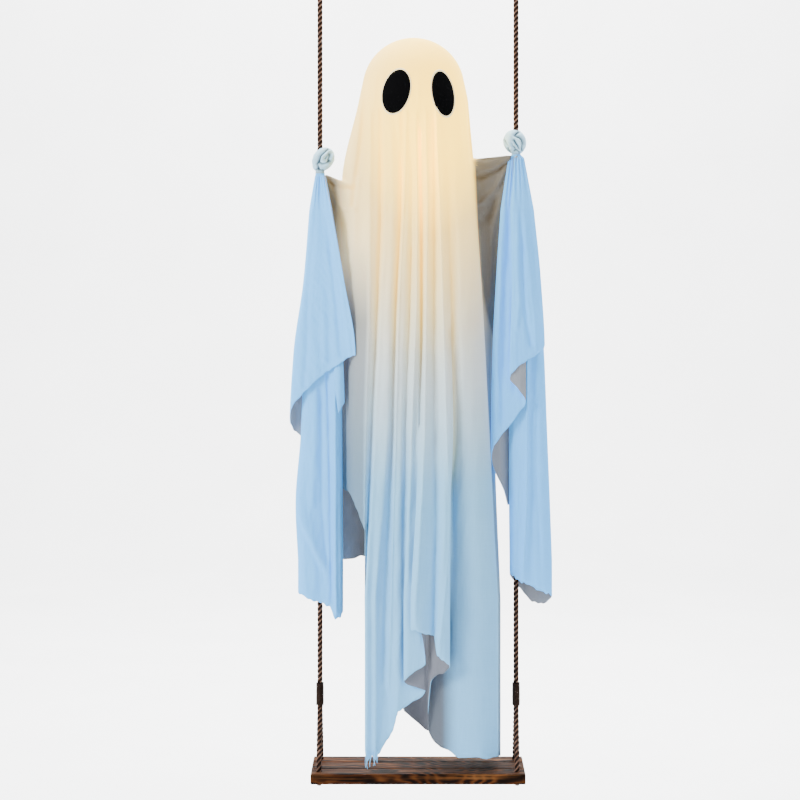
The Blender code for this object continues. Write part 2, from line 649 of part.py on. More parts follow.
def make_battery_box():
    """The tray, open at the back, with its peg, the screw's hole, the hinge's ears and the switch's slot."""
    tray = block_mesh((BOX_WIDTH, BOX_DEPTH, BOX_HEIGHT))
    box = show("battery_box", tray, BLACK_PLASTIC, at(HEAD_X, 0, BOX_Z))
    bevel(box, BOX_WALL / 2)
    height = CAVITY_TOP - CAVITY_FLOOR
    depth = BOX_DEPTH - BOX_WALL + OVERRUN
    cavity = cutter(
        block_mesh((BOX_WIDTH - 2 * BOX_WALL, depth, height)),
        at(HEAD_X, BOX_BACK + OVERRUN - depth / 2, CAVITY_FLOOR + height / 2))
    combine(box, [cavity])
    peg = rod_mesh(PEG_DIAMETER / 2, PEG_LENGTH + OVERRUN)
    joined = [cutter(peg, at(HEAD_X, 0, BOX_TOP + (PEG_LENGTH - GAP - OVERRUN) / 2))]
    lug_depth = BARREL_RADIUS + GAP + OVERRUN
    for side in (-1, 1):
        z = BOX_Z + side * (BARREL_LENGTH / 2 + GAP + EAR_HEIGHT / 2)
        joined.append(cutter(rod_mesh(BARREL_RADIUS, EAR_HEIGHT, 16), at(DOOR_AXIS_X, DOOR_AXIS_Y, z)))
        lug = block_mesh((BOX_WALL - 2 * GAP, lug_depth, EAR_HEIGHT * 0.9))
        joined.append(cutter(lug, at(BOX_LEFT + BOX_WALL / 2, DOOR_AXIS_Y - lug_depth / 2, z)))
    combine(box, joined, "UNION")
    screw_hole = cutter(
        rod_mesh(SCREW_DIAMETER / 2 + 3 * GAP, BOX_DEPTH / 2, 16),
        at(SCREW_X, BOX_BACK, SCREW_Z) @ Matrix.Rotation(QUARTER_TURN, 4, "X"))
    slot = cutter(
        block_mesh((2 * BOX_WALL, SLIDER_WIDTH + 2 * GAP, SLIDER_HEIGHT + SLIDER_TRAVEL + 2 * GAP)),
        at(BOX_RIGHT - BOX_WALL / 2, 0, SLOT_Z + SLIDER_TRAVEL / 2))
    pin_hole = cutter(rod_mesh(PIN_RADIUS + GAP, BOX_HEIGHT, 12), at(DOOR_AXIS_X, DOOR_AXIS_Y, BOX_Z))
    bake(combine(box, [screw_hole, slot, pin_hole]))


def make_battery_door():
    """The back plate with its hinge barrel down its left edge, and the captive screw in its far corner."""
    thick = DOOR_THICKNESS
    width = BOX_RIGHT - DOOR_AXIS_X
    inner = BOX_BACK + 1.5 * GAP
    plate_y = inner + thick / 2
    plate = block_mesh((width, thick, BOX_HEIGHT))
    door = show("battery_door", plate, BLACK_PLASTIC, at(DOOR_AXIS_X + width / 2, plate_y, BOX_Z))
    bevel(door, thick / 5)
    barrel = cutter(
        rod_mesh(BARREL_RADIUS, BARREL_LENGTH + 2 * GAP, 16), at(DOOR_AXIS_X, DOOR_AXIS_Y, BOX_Z))
    combine(door, [barrel], "UNION")
    cuts = [cutter(rod_mesh(PIN_RADIUS + GAP, BARREL_LENGTH * 1.5, 12), at(DOOR_AXIS_X, DOOR_AXIS_Y, BOX_Z))]
    for side in (-1, 1):
        notch = block_mesh((4 * BARREL_RADIUS, 4 * BARREL_RADIUS, EAR_HEIGHT + 2 * GAP))
        place = at(
            DOOR_AXIS_X + GAP - BARREL_RADIUS, DOOR_AXIS_Y,
            BOX_Z + side * (BARREL_LENGTH / 2 + GAP + EAR_HEIGHT / 2))
        cuts.append(cutter(notch, place))
    facing_back = Matrix.Rotation(-QUARTER_TURN, 4, "X")
    hole = rod_mesh(SCREW_DIAMETER / 2 + GAP, 2 * thick + OVERRUN, 16)
    cuts.append(cutter(hole, at(SCREW_X, plate_y, SCREW_Z) @ facing_back))
    bake(combine(door, cuts))
    length = thick + 2 * SCREW_HEAD
    outside = inner + thick + GAP
    profile = (
        (0, SCREW_HEAD), (SCREW_DIAMETER * 0.7, SCREW_HEAD), (SCREW_DIAMETER, SCREW_HEAD / 3),
        (SCREW_DIAMETER, 0), (SCREW_DIAMETER / 2, 0), (SCREW_DIAMETER / 2, -length), (0, -length))
    screw = turned("door_screw", profile, ZINC_STEEL, at(SCREW_X, outside, SCREW_Z) @ facing_back, steps=16)
    cross = [
        cutter(block_mesh((long, wide, SCREW_HEAD)), at(SCREW_X, outside + SCREW_HEAD, SCREW_Z) @ facing_back)
        for long, wide in ((SCREW_DIAMETER, SCREW_HEAD / 2), (SCREW_HEAD / 2, SCREW_DIAMETER))]
    bake(combine(screw, cross))
    pin = rod_mesh(PIN_RADIUS, BARREL_LENGTH + 2 * EAR_HEIGHT, 12)
    show("hinge_pin", pin, ZINC_STEEL, at(DOOR_AXIS_X, DOOR_AXIS_Y, BOX_Z))


def make_cells():
    """Three cells side by side, each with its button on top, and a coil contact under each."""
    pitch = CELL_DIAMETER + GAP
    radius = CELL_DIAMETER / 2
    button = radius / 3
    foot = CAVITY_TOP - GAP - CELL_LENGTH
    profile = (
        (0, CELL_LENGTH), (button, CELL_LENGTH), (button, CELL_LENGTH - button),
        (radius, CELL_LENGTH - button), (radius, 0), (0, 0))
    coil_wire = radius / 8
    coil_floor = CAVITY_FLOOR + GAP + coil_wire
    coil_rise = foot - GAP - coil_wire - coil_floor
    turns = 3
    points = 7
    for number in range(CELL_COUNT):
        x = HEAD_X + (number - (CELL_COUNT - 1) / 2) * pitch
        turned(f"battery_cell_{number + 1}", profile, CELL_SLEEVE, at(x, 0, foot), steps=16)
        route = []
        for step in range(turns * points + 1):
            share = step / (turns * points)
            angle = math.tau * turns * share
            reach = radius * (0.75 - 0.3 * share)
            route.append((
                x + reach * math.cos(angle), reach * math.sin(angle), coil_floor + coil_rise * share))
        tube(f"contact_spring_{number + 1}", route, 2 * coil_wire, ZINC_STEEL, resolution=0)


def make_slider():
    """The switch: a ribbed thumb piece through the slot, held by a wider foot inside the wall."""
    inside = HEAD_X + BOX_WIDTH / 2 - BOX_WALL - GAP
    outside = HEAD_X + BOX_WIDTH / 2 + BOX_WALL
    length = outside - inside
    slider = show(
        "switch_slider", block_mesh((length, SLIDER_WIDTH, SLIDER_HEIGHT)), WHITE_PLASTIC,
        at((inside + outside) / 2, 0, SLOT_Z))
    foot = cutter(
        block_mesh((SLIDER_INNER, SLIDER_WIDTH + 2 * BOX_WALL, SLIDER_HEIGHT + 2 * BOX_WALL + SLIDER_TRAVEL)),
        at(inside - SLIDER_INNER / 2 + GAP / 3, 0, SLOT_Z))
    combine(slider, [foot], "UNION")
    grooves = [
        cutter(block_mesh((BOX_WALL / 2, 2 * SLIDER_WIDTH, SLIDER_HEIGHT / 6)), at(outside, 0, SLOT_Z + rise))
        for rise in (-SLIDER_HEIGHT / 4, 0, SLIDER_HEIGHT / 4)]
    bake(combine(slider, grooves))


make_bar()
for side_name, side in SIDES:
    make_bar_clip("bar_clip_" + side_name, side)
make_tee()
make_neck_tube()
make_head_form()
make_lamp()
make_battery_box()
make_battery_door()
make_cells()
make_slider()


# The cloth. Its tables hold pixel coordinates of the photograph, with depths in the same pixels.

HEAD_RADIUS_PIXEL = 48.7
ROPE_SPAN_PIXEL = 196.0
CHEEK_PIXEL = 100.0              # where the cloth leaves the round of the head
CHEEK_RADIUS_PIXEL = 54.0
CHIN_PIXEL = 150.0               # the head's form ends above this
WAIST_PIXEL = 430.0
CLOTH_LEVEL_PIXELS = (100, 180, 310, 430, 600)
ROW_SPREAD_SHARE = 1.025         # the crown's rows stand out, so that the flats between them clear the head
DOME_SHARES = (0.2, 0.45, 0.72)   # rows on the crown, as shares of the turn down to the cheek
FALL_ROW_PIXELS = (100, 135, 158, 169, 182, 212, 255, 310, 370, 430)
HEM_ROW_SHARES = (0.26, 0.52, 0.76, 1.0)

# Each pleat: across at the five levels, depth at the third and fifth level, and its hem.
FRONT_PLEAT_PIXELS = (
    (359.5, 342, 345, 345, 345, 0, 0, 489), (361, 346, 349, 348, 350, 13, 12, 492),
    (364, 352, 356, 353, 356, 24, 22, 501), (367, 361, 362, 359, 361, 31, 30, 518),
    (370, 370, 369.5, 366, 364, 39, 36, 532), (375, 381, 377, 371.5, 365.5, 35, 34, 660),
    (380, 386, 381, 375.5, 368, 41, 38, 762), (386, 394, 390, 387, 381, 42, 39, 742),
    (391, 401.5, 395.5, 392.5, 385.5, 37, 33, 722), (395.5, 405, 399, 395.5, 391, 43, 39, 716),
    (400, 408.5, 404, 401, 398, 42, 38, 712), (404, 412, 409.5, 405, 410, 38, 35, 704),
    (407, 414, 411.5, 407, 425, 39.5, 36, 691), (409.5, 416, 413.5, 409, 405, 41.5, 41, 683),
    (412, 417.5, 416, 411.5, 409, 43.5, 46, 677), (415, 419, 419, 416.5, 424, 42, 44, 664),
    (418, 421, 421.5, 419.5, 410.5, 37.5, 51, 634), (422, 427.5, 426, 424.5, 417, 44, 56, 631),
    (426, 432, 431.5, 431, 427, 40, 50, 634), (430, 435, 436, 437, 434, 39, 46, 637),
    (433, 438, 440, 442.5, 437, 42, 49, 656), (436, 440, 443.5, 446.5, 444, 44, 52, 661),
    (440, 443, 447.5, 451, 450, 40, 46, 667), (444, 446, 450, 453, 441, 38, 38, 679),
    (448, 450, 454, 456, 450, 38.5, 33, 748), (453, 457, 463, 465, 464, 40, 37, 757),
    (459, 465, 473, 476, 480, 34, 34, 758), (464.5, 470, 480, 486, 493, 22, 24, 757),
    (467.5, 473, 484.5, 491, 500, 3, 6, 755))
BACK_PLEAT_PIXELS = (
    (466, 471, 482, 488, 497, -20, -18, 750), (452, 456, 463, 466, 468, -36, -33, 742),
    (436, 438, 444, 446, 446, -32, -28, 740), (420, 421, 425, 426, 425, -43, -39, 728),
    (402, 402, 405, 405, 404, -36, -33, 712), (384, 382, 382, 381, 382, -41, -35, 640),
    (366, 358, 357, 356, 358, -27, -22, 554))

# The cloth drawn out to each knot: row, share of the pull, and lift in pixels.
LEFT_PULL_PIXEL = 327.5
RIGHT_PULL_PIXEL = 508.0
LEFT_PULL_SHARES = {182: (1.0, 6), 212: (0.85, 0), 255: (0.3, 0)}
RIGHT_PULL_SHARES = {169: (1.0, 13), 182: (1.0, 4), 212: (0.65, 0), 255: (0.3, 0), 310: (0.1, 0)}
PULL_FADE_SHARES = (1.0, 0.6, 0.28, 0.08)   # from the outermost pleat inwards
PULL_FLATTEN_SHARE = 0.6


# How far the built sizes are from the photographed ones, which the tables hold.
HEAD_FIT = HEAD_RADIUS / METRES_PER_PIXEL / HEAD_RADIUS_PIXEL
SPAN_EXCESS = (ROPE_SPAN - ROPE_SPAN_PIXEL * METRES_PER_PIXEL) / 2
DOME_RADIUS_PIXEL = (HEAD_RADIUS + CLOTH_THICKNESS + 2 * GAP) * ROW_SPREAD_SHARE / METRES_PER_PIXEL
HEAD_CENTRE_DOWN = (HEAD_CENTRE_DROP - FRAME_TOP_DROP) / METRES_PER_PIXEL


def span_shift(side):
    """How far a rope stands outside its photographed place."""
    return Vector((side * SPAN_EXCESS, 0, 0))


def between(levels, values, level):
    """A value read between its levels, and held past the last of them."""
    for number in range(len(levels) - 1):
        if level <= levels[number + 1]:
            share = (level - levels[number]) / (levels[number + 1] - levels[number])
            return values[number] + (values[number + 1] - values[number]) * max(0.0, share)
    return values[-1]


def pleat_point(pleat, down, front):
    """Across and toward for a pleat at a level below the cheek."""
    offset = (pleat[0] - HEAD_CENTRE_PIXEL) * HEAD_FIT
    across = between(CLOTH_LEVEL_PIXELS, (HEAD_CENTRE_PIXEL + offset, *pleat[1:5]), down)
    round_depth = math.sqrt(max(0.0, (CHEEK_RADIUS_PIXEL * HEAD_FIT) ** 2 - offset ** 2))
    round_depth = round_depth if front else -round_depth
    middle_depth = (round_depth + pleat[5]) / 2
    depths = (round_depth, middle_depth, pleat[5], (pleat[5] + pleat[6]) / 2, pleat[6])
    return across, between(CLOTH_LEVEL_PIXELS, depths, down)


def pull_of(number, count, down):
    """How far a pleat is drawn to a knot: its target across, its share, and its lift."""
    front_count = len(FRONT_PLEAT_PIXELS)
    wider = SPAN_EXCESS / METRES_PER_PIXEL
    for target, shares, outermost in (
            (LEFT_PULL_PIXEL - wider, LEFT_PULL_SHARES, 0),
            (RIGHT_PULL_PIXEL + wider, RIGHT_PULL_SHARES, front_count - 1)):
        away = min(abs(number - outermost), count - abs(number - outermost))
        if away < len(PULL_FADE_SHARES) and down in shares:
            share, lift = shares[down]
            return target, share * PULL_FADE_SHARES[away], lift * PULL_FADE_SHARES[away]
    return 0.0, 0.0, 0.0


def corner_spreads(pleats):
    """How far each pleat's corner stands out, so that the flats between corners clear the round head."""
    turns = []
    for pleat, front in pleats:
        across, toward = pleat_point(pleat, CHEEK_PIXEL, front)
        turns.append(math.atan2(toward, across - HEAD_CENTRE_PIXEL))
    spreads = []
    for number, turn in enumerate(turns):
        beside = (turns[number - 1], turns[(number + 1) % len(turns)])
        steps = [abs((other - turn + math.pi) % math.tau - math.pi) for other in beside]
        spreads.append(1 / math.cos(max(steps) / 2))
    return spreads


def sheet_rows():
    """The draped sheet's rows of points, from just under the crown to the hem."""
    pleats = [(pleat, True) for pleat in FRONT_PLEAT_PIXELS] + [(pleat, False) for pleat in BACK_PLEAT_PIXELS]
    spreads = corner_spreads(pleats)
    rows = []
    for dome_share in DOME_SHARES:
        angle = QUARTER_TURN * dome_share
        row = []
        for (pleat, front), spread in zip(pleats, spreads):
            across, toward = pleat_point(pleat, CHEEK_PIXEL, front)
            out = across - HEAD_CENTRE_PIXEL
            reach = spread * math.sin(angle) * DOME_RADIUS_PIXEL / math.hypot(out, toward)
            row.append(plain_place(
                HEAD_CENTRE_PIXEL + out * reach, HEAD_CENTRE_DOWN - DOME_RADIUS_PIXEL * math.cos(angle),
                toward * reach))
        rows.append(row)
    for down in FALL_ROW_PIXELS:
        row = []
        for number, (pleat, front) in enumerate(pleats):
            across, toward = pleat_point(pleat, down, front)
            if down < CHIN_PIXEL:
                across = HEAD_CENTRE_PIXEL + (across - HEAD_CENTRE_PIXEL) * spreads[number]
                toward *= spreads[number]
                lower = HEAD_CENTRE_DOWN + (down - HEAD_CENTRE_DOWN) * HEAD_FIT
                row.append(plain_place(across, lower, toward))
                continue
            target, share, lift = pull_of(number, len(pleats), down)
            across += (target - across) * share if share else 0.0
            toward *= 1 - PULL_FLATTEN_SHARE * share
            row.append(photo_place(across, down - lift, toward))
        rows.append(row)
    for hem_share in HEM_ROW_SHARES:
        row = []
        for pleat, front in pleats:
            down = WAIST_PIXEL + (pleat[7] - WAIST_PIXEL) * hem_share
            across, toward = pleat_point(pleat, down, front)
            row.append(photo_place(across, down, toward))
        rows.append(row)
    return rows


def cloth(name, rows, closed, crown=None):
    """A sheet through rows of points, given its thickness inwards."""
    def build(shape):
        grid = [[shape.verts.new(point) for point in row] for row in rows]
        count = len(grid[0])
        for upper, lower in zip(grid, grid[1:]):
            for number in range(count if closed else count - 1):
                after = (number + 1) % count
                shape.faces.new((upper[number], lower[number], lower[after], upper[after]))
        if crown:
            top = shape.verts.new(crown)
            for number in range(count):
                shape.faces.new((top, grid[0][number], grid[0][(number + 1) % count]))
    piece = show(name, mesh_from(build), WHITE_CLOTH)
    solid = piece.modifiers.new("thickness", "SOLIDIFY")
    solid.thickness = CLOTH_THICKNESS
    solid.offset = -1
    return piece


def bar_cutters():
    """The openings through which the bar and its clips leave the cloth."""
    radius = BAR_BORE + CLIP_WALL + 4 * GAP
    tools = []
    for _, side in SIDES:
        length = CLIP_REACH + 3 * radius
        x = side * (ROPE_SPAN / 2 - length / 2 + ROPE_RADIUS)
        tools.append(cutter(rod_mesh(radius, length, 16), lying(x, 0, BAR_Z)))
    return tools


crown = plain_place(HEAD_CENTRE_PIXEL, HEAD_CENTRE_DOWN - DOME_RADIUS_PIXEL, 0)
sheet = cloth("ghost_sheet", sheet_rows(), True, crown)
bake(combine(sheet, bar_cutters()))


# The hanging sides: each a sleeve of cloth round its rope, and a lap in front of it

SIDE_LEVEL_PIXELS = (210, 280, 354, 430, 560)
SIDE_ROW_SHARES = (0.0, 0.08, 0.22, 0.38, 0.54, 0.7, 0.86, 1.0)
NECK_FLARE_PIXEL = 184.0         # where a sleeve has opened clear of the bar's clip

# Each fold: across at the five levels, depth, and its hem. The sleeve's row runs all round.
LEFT_SLEEVE_PIXELS = (
    (310, 306, 302, 300, 297.5, 0, 592), (311, 309, 306, 305, 304, 7, 596), (315, 314, 313, 313, 313, 9, 600),
    (320, 320, 321, 322, 322, 8, 604), (322, 325, 328, 330, 330, 9.5, 609),
    (323, 328, 333, 334.5, 335, 11.5, 620),
    (323.5, 331, 338, 339, 340.5, 6, 616), (324.5, 333, 340, 341, 342, 0, 606),
    (323, 329, 334, 335, 336, -7, 580),
    (320, 323, 325, 326, 327, -9, 565), (315, 316, 316, 315, 314, -8, 560),
    (311.5, 310, 308, 306, 304, -6, 572))
RIGHT_SLEEVE_PIXELS = (
    (511, 510, 509, 508.5, 509, 0, 572), (512, 512, 512, 512, 513, 7, 576), (514, 517, 518, 518, 518, 9, 580),
    (517, 523, 526, 526, 524.5, 12, 583), (521, 528, 531, 531, 531, 8.5, 586),
    (525, 533, 537, 538, 539, 9, 590),
    (527, 537, 542, 544, 547, 6, 594), (527.5, 539, 544, 546.5, 552, 0, 596),
    (524, 533, 537, 539, 543, -7, 604),
    (519, 525, 528, 529, 532, -9, 602), (513, 518, 518, 518, 520, -8, 588),
    (512, 512, 511, 511, 512, -6, 578))
LEFT_LAP_PIXELS = (
    (309, 303.5, 294.5, 289.5, 289.5, 4, 416), (310.5, 307, 301, 297, 297, 11, 396),
    (314, 313, 311, 309, 309, 14, 382), (319, 320, 322, 322, 322, 14, 373),
    (323.5, 326.5, 331, 331, 331, 16, 368), (327, 333, 339, 339, 339, 17, 362),
    (330, 339, 348, 348, 348, 21, 357), (332, 344, 355.5, 355.5, 355.5, 29, 354.5))
RIGHT_LAP_PIXELS = (
    (500.5, 496, 492, 491.5, 492, 12, 470), (503, 499, 497, 495, 495, 16, 448),
    (508, 505, 504, 503, 503, 15, 434), (513, 513, 511, 510, 510, 17, 424),
    (517, 519, 518, 519, 519, 16, 406), (522, 525, 524, 524, 524, 19, 378),
    (527, 530, 531, 531, 531, 17, 360), (531, 536, 538, 538, 538, 16, 353),
    (534, 541, 545, 545, 545, 9, 349))
NECK_PIXELS = {"left": 173.5, "right": 154.5}
KNOT_PIXELS = {"left": (322.5, 160.5, 3.0), "right": (515.0, 141.5, 2.5)}   # across, down, toward


def side_rows(folds, ring, side):
    """Rows of a hanging side: a gathered ring at the knot, then down to each fold's own hem."""
    rows = [ring(0.0), ring(1.0)]
    for row_share in SIDE_ROW_SHARES:
        row = []
        for fold in folds:
            down = NECK_FLARE_PIXEL + (fold[6] - NECK_FLARE_PIXEL) * row_share
            across = between(SIDE_LEVEL_PIXELS, fold[:5], down)
            fallen = (down - NECK_FLARE_PIXEL) / (SIDE_LEVEL_PIXELS[1] - NECK_FLARE_PIXEL)
            opened = min(1.0, 0.75 + 0.25 * fallen)
            row.append(photo_place(across, down, fold[5] * opened) + span_shift(side))
        rows.append(row)
    return rows


def neck_ring(side, side_name, radius, count, start, turn):
    """Points round the rope, just under the knot or a little lower."""
    def ring(lower):
        height = photo_place(SWING_CENTRE_PIXEL, NECK_PIXELS[side_name], 0).z - lower * ROPE_DIAMETER / 2
        points = []
        for number in range(count):
            angle = start + turn * number
            points.append(Vector((
                side * ROPE_SPAN / 2 + radius * math.cos(angle), radius * math.sin(angle), height)))
        return points
    return ring


def make_hanging_side(side_name, side, sleeve_folds, lap_folds):
    """The sleeve round the rope, and the lap over its front."""
    inner = ROPE_RADIUS + GAP + CLOTH_THICKNESS
    count = len(sleeve_folds)
    ring = neck_ring(side, side_name, inner / math.cos(math.pi / count), count, math.pi, math.tau / count)
    sleeve = cloth("sleeve_" + side_name, side_rows(sleeve_folds, ring, side), True)
    bake(combine(sleeve, bar_cutters()))
    outer = (inner + GAP + CLOTH_THICKNESS) / math.cos(math.pi / count)
    laps = len(lap_folds)
    ring = neck_ring(side, side_name, outer, laps, math.pi, math.pi / (laps - 1))
    cloth("lap_" + side_name, side_rows(lap_folds, ring, side), False)


def make_knot(name, side_name, side):
    """The cloth tied round the rope: a ball of crossed turns with the rope's bore through it."""
    across, down, toward = KNOT_PIXELS[side_name]
    centre = photo_place(across, down, toward) + span_shift(side)
    neck = photo_place(across, NECK_PIXELS[side_name], 0).z
    half = Vector((KNOT_WIDTH / 2, KNOT_WIDTH / 2, KNOT_HEIGHT / 2))
    ball = show(name, ball_mesh(half * 0.93, 16, 10), WHITE_CLOTH, at(*centre))
    turns = []
    for tilt, swing in ((38, 10), (-42, -15)):
        mesh = bpy.data.meshes.new("turn")
        shape = bmesh.new()
        rows = 14
        sides = 6
        grid = []
        for row in range(rows):
            around = math.tau * row / rows
            outward = Vector((math.cos(around), math.sin(around), 0))
            middle = outward * (half.x - KNOT_BAND * 0.6)
            grid.append([shape.verts.new(
                middle + outward * KNOT_BAND * 0.6 * math.cos(math.tau * part / sides)
                + Vector((0, 0, KNOT_BAND * math.sin(math.tau * part / sides)))) for part in range(sides)])
        for row in range(rows):
            for part in range(sides):
                after = (part + 1) % sides
                below = (row + 1) % rows
                shape.faces.new((grid[row][part], grid[below][part], grid[below][after], grid[row][after]))
        bmesh.ops.recalc_face_normals(shape, faces=shape.faces)
        shape.to_mesh(mesh)
        shape.free()
        turned_back = Matrix.Rotation(math.radians(swing), 4, "X")
        mesh.transform(turned_back @ Matrix.Rotation(math.radians(tilt), 4, "Y"))
        turns.append(cutter(mesh, at(*centre)))
    combine(ball, turns, "UNION")
    reach = KNOT_HEIGHT
    bore = cutter(rod_mesh(ROPE_BORE, 2 * reach, 20), at(side * ROPE_SPAN / 2, 0, centre.z))
    below = cutter(block_mesh((reach * 2, reach * 2, reach)), at(centre.x, centre.y, neck + GAP - reach / 2))
    bake(combine(ball, [bore, below]))


for side_name, side, sleeve_folds, lap_folds in (
        ("left", -1, LEFT_SLEEVE_PIXELS, LEFT_LAP_PIXELS),
        ("right", 1, RIGHT_SLEEVE_PIXELS, RIGHT_LAP_PIXELS)):
    make_hanging_side(side_name, side, sleeve_folds, lap_folds)
    make_knot("knot_" + side_name, side_name, side)


# The eyes: felt ovals that follow the cloth of the face

# Each eye: centre across and down, half width, half height, and its lean to the right going up.
EYE_PIXELS = {"left": (396.5, 91.5, 13.6, 21.8, 3.6), "right": (442.7, 93.7, 10.7, 22.2, -3.2)}
EYE_RINGS = 4
EYE_POINTS = 24


def make_eye(name, eye, surface):
    """A felt oval laid on the face: each of its points is dropped on the cloth from the front."""
    across, down, half_width, half_height, lean = eye
    rows = [[(0.0, 0.0)]]
    for ring in range(1, EYE_RINGS + 1):
        reach = ring / EYE_RINGS
        turns = [math.tau * number / EYE_POINTS for number in range(EYE_POINTS)]
        rows.append([(reach * math.cos(turn), reach * math.sin(turn)) for turn in turns])
    lens = photo_place(*VIEW_CENTRE_PIXEL, 0)
    lens.y = -VIEW_DISTANCE

    def laid(point, lift):
        wide, high = point
        target = photo_place(across + half_width * wide + lean * high, down - half_height * high, 0)
        direction = (target - lens).normalized()
        place, normal, _, _ = surface.ray_cast(lens, direction)
        if normal.y > 0:
            normal = -normal
        return place + normal * lift

    def build(shape):
        faces = []
        for lift in (EYE_LIFT, EYE_LIFT + EYE_PATCH_THICKNESS):
            grid = [[shape.verts.new(laid(point, lift)) for point in row] for row in rows]
            faces.append(grid)
            for inner, outer in zip(grid[1:], grid[2:]):
                for number in range(EYE_POINTS):
                    after = (number + 1) % EYE_POINTS
                    shape.faces.new((inner[number], inner[after], outer[after], outer[number]))
            for number in range(EYE_POINTS):
                shape.faces.new((grid[0][0], grid[1][number], grid[1][(number + 1) % EYE_POINTS]))
        low, high = faces
        for number in range(EYE_POINTS):
            after = (number + 1) % EYE_POINTS
            shape.faces.new((low[-1][number], low[-1][after], high[-1][after], high[-1][number]))
        bmesh.ops.recalc_face_normals(shape, faces=shape.faces)
    show(name, mesh_from(build), BLACK_FELT)


bpy.context.view_layer.update()
face_shape = bmesh.new()
face_shape.from_mesh(sheet.data)
face = BVHTree.FromBMesh(face_shape)
face_shape.free()
for side_name, _ in SIDES:
    make_eye("eye_patch_" + side_name, EYE_PIXELS[side_name], face)
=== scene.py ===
"""The dressed model of a swinging ghost: a lit, cloth-draped ghost on a scorched plank swing.

It follows the swing as it is put together: the view, the hooks and ropes, the seat, the inner frame and
its lamp, and then the cloth, its knots and its eyes. Metres, +Z up, the ghost faces -Y.
"""
import math

import bmesh
import bpy
import numpy as np
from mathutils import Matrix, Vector
from mathutils.bvhtree import BVHTree


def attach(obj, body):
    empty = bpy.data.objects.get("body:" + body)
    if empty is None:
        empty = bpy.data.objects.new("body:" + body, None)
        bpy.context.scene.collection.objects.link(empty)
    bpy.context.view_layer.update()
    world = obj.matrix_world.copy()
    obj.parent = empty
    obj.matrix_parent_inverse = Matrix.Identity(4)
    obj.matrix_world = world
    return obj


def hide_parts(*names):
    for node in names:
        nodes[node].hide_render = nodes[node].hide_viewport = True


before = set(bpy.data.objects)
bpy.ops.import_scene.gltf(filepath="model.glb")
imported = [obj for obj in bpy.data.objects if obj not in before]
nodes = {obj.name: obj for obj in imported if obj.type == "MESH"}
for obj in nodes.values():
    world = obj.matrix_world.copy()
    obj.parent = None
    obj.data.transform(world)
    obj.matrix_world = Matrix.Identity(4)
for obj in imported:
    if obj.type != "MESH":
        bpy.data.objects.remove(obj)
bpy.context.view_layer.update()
bpy.ops.object.select_all(action="DESELECT")


# The view. The photograph was taken from 3.5 m in front, level with the ghost's chest. One of its pixels is
# 1.653 mm in the plane of the ropes, and its vanishing point lies left of and above the middle.

PHOTO_WIDTH = 800
METRES_PER_PIXEL = 0.001653
VIEW_DISTANCE = 3.5
VANISHING_PIXEL = (414.0, 231.0)
SWING_CENTRE_PIXEL = 418.0
FRAME_TOP = -0.179

VIEW_X = (VANISHING_PIXEL[0] - SWING_CENTRE_PIXEL) * METRES_PER_PIXEL
VIEW_Z = FRAME_TOP - VANISHING_PIXEL[1] * METRES_PER_PIXEL
SENSOR = 36.0

camera_data = bpy.data.cameras.new("photo_view")
camera_data.sensor_width = SENSOR
camera_data.lens = SENSOR * VIEW_DISTANCE / METRES_PER_PIXEL / PHOTO_WIDTH
camera_data.shift_x = (PHOTO_WIDTH / 2 - VANISHING_PIXEL[0]) / PHOTO_WIDTH
camera_data.shift_y = (VANISHING_PIXEL[1] - PHOTO_WIDTH / 2) / PHOTO_WIDTH
camera = bpy.data.objects.new("photo_view", camera_data)
camera.location = (VIEW_X, -VIEW_DISTANCE, VIEW_Z)
camera.rotation_euler = (math.radians(90), 0, 0)
bpy.context.scene.collection.objects.link(camera)
bpy.context.scene.camera = camera


# The ropes. Each is a soft three-strand rope, 9 mm thick, dyed dark brown, with a painted highlight along its
# strand crowns.
# It goes up to an eye on its screw hook, and down to the seizing that holds the seat's two legs.

ROPE_DIAMETER = 0.009
ROPE_SPAN = 0.324
ROPE_LAY = 0.0256                # along the rope, for one turn of its strands
SEAM_GAP = 0.0003                # the CAD model's gap between pieces that touch
HOOK_WIRE = 0.006
HOOK_AXIS = -0.044
EYE_BEND_RADIUS = 0.016
EYE_LENGTH = 0.062
EYE_SEIZING_LENGTH = 0.024
ROPE_TAIL = 0.012
TILT_AXIS = -1.3066
BOARD_TOP = -1.4436
BOARD_BOTTOM = -1.4606
SEIZING_LENGTH = 0.037
HOLE_SPACING = 0.080
SEAT_LEG_HEIGHT = 0.100
STRAND_OFFSET = ROPE_DIAMETER / 2 + SEAM_GAP / 2
STRANDS = 3
STRAND_ROUNDS = 10               # points round a strand
STRAND_SWELL = 1.04              # strands bulge into each other
SIDES = (("left", -1), ("right", 1))


def eased_across(values, places, closed=False):
    """Values read between their places on a smooth curve through them."""
    values = np.asarray(values, dtype=float)
    count = len(values)
    whole = np.floor(places).astype(int)
    share = (places - whole)[:, None]
    before, start, stop, after = (
        values[(whole + step) % count if closed else np.clip(whole + step, 0, count - 1)]
        for step in (-1, 0, 1, 2))
    return 0.5 * (
        2 * start + (stop - before) * share + (2 * before - 5 * start + 4 * stop - after) * share ** 2
        + (3 * start - before - 3 * stop + after) * share ** 3)


def smooth_route(points, per_span=8):
    """Points read from a smooth curve through the route's own points."""
    return list(eased_across(points, np.arange((len(points) - 1) * per_span + 1) / per_span))


def arc(centre, radius, start, stop, steps):
    """Points on an arc in the YZ plane, with angles from +Y towards +Z, in degrees."""
    x, y, z = centre
    angles = [math.radians(start + (stop - start) * number / steps) for number in range(steps + 1)]
    return [(x, y + radius * math.cos(angle), z + radius * math.sin(angle)) for angle in angles]


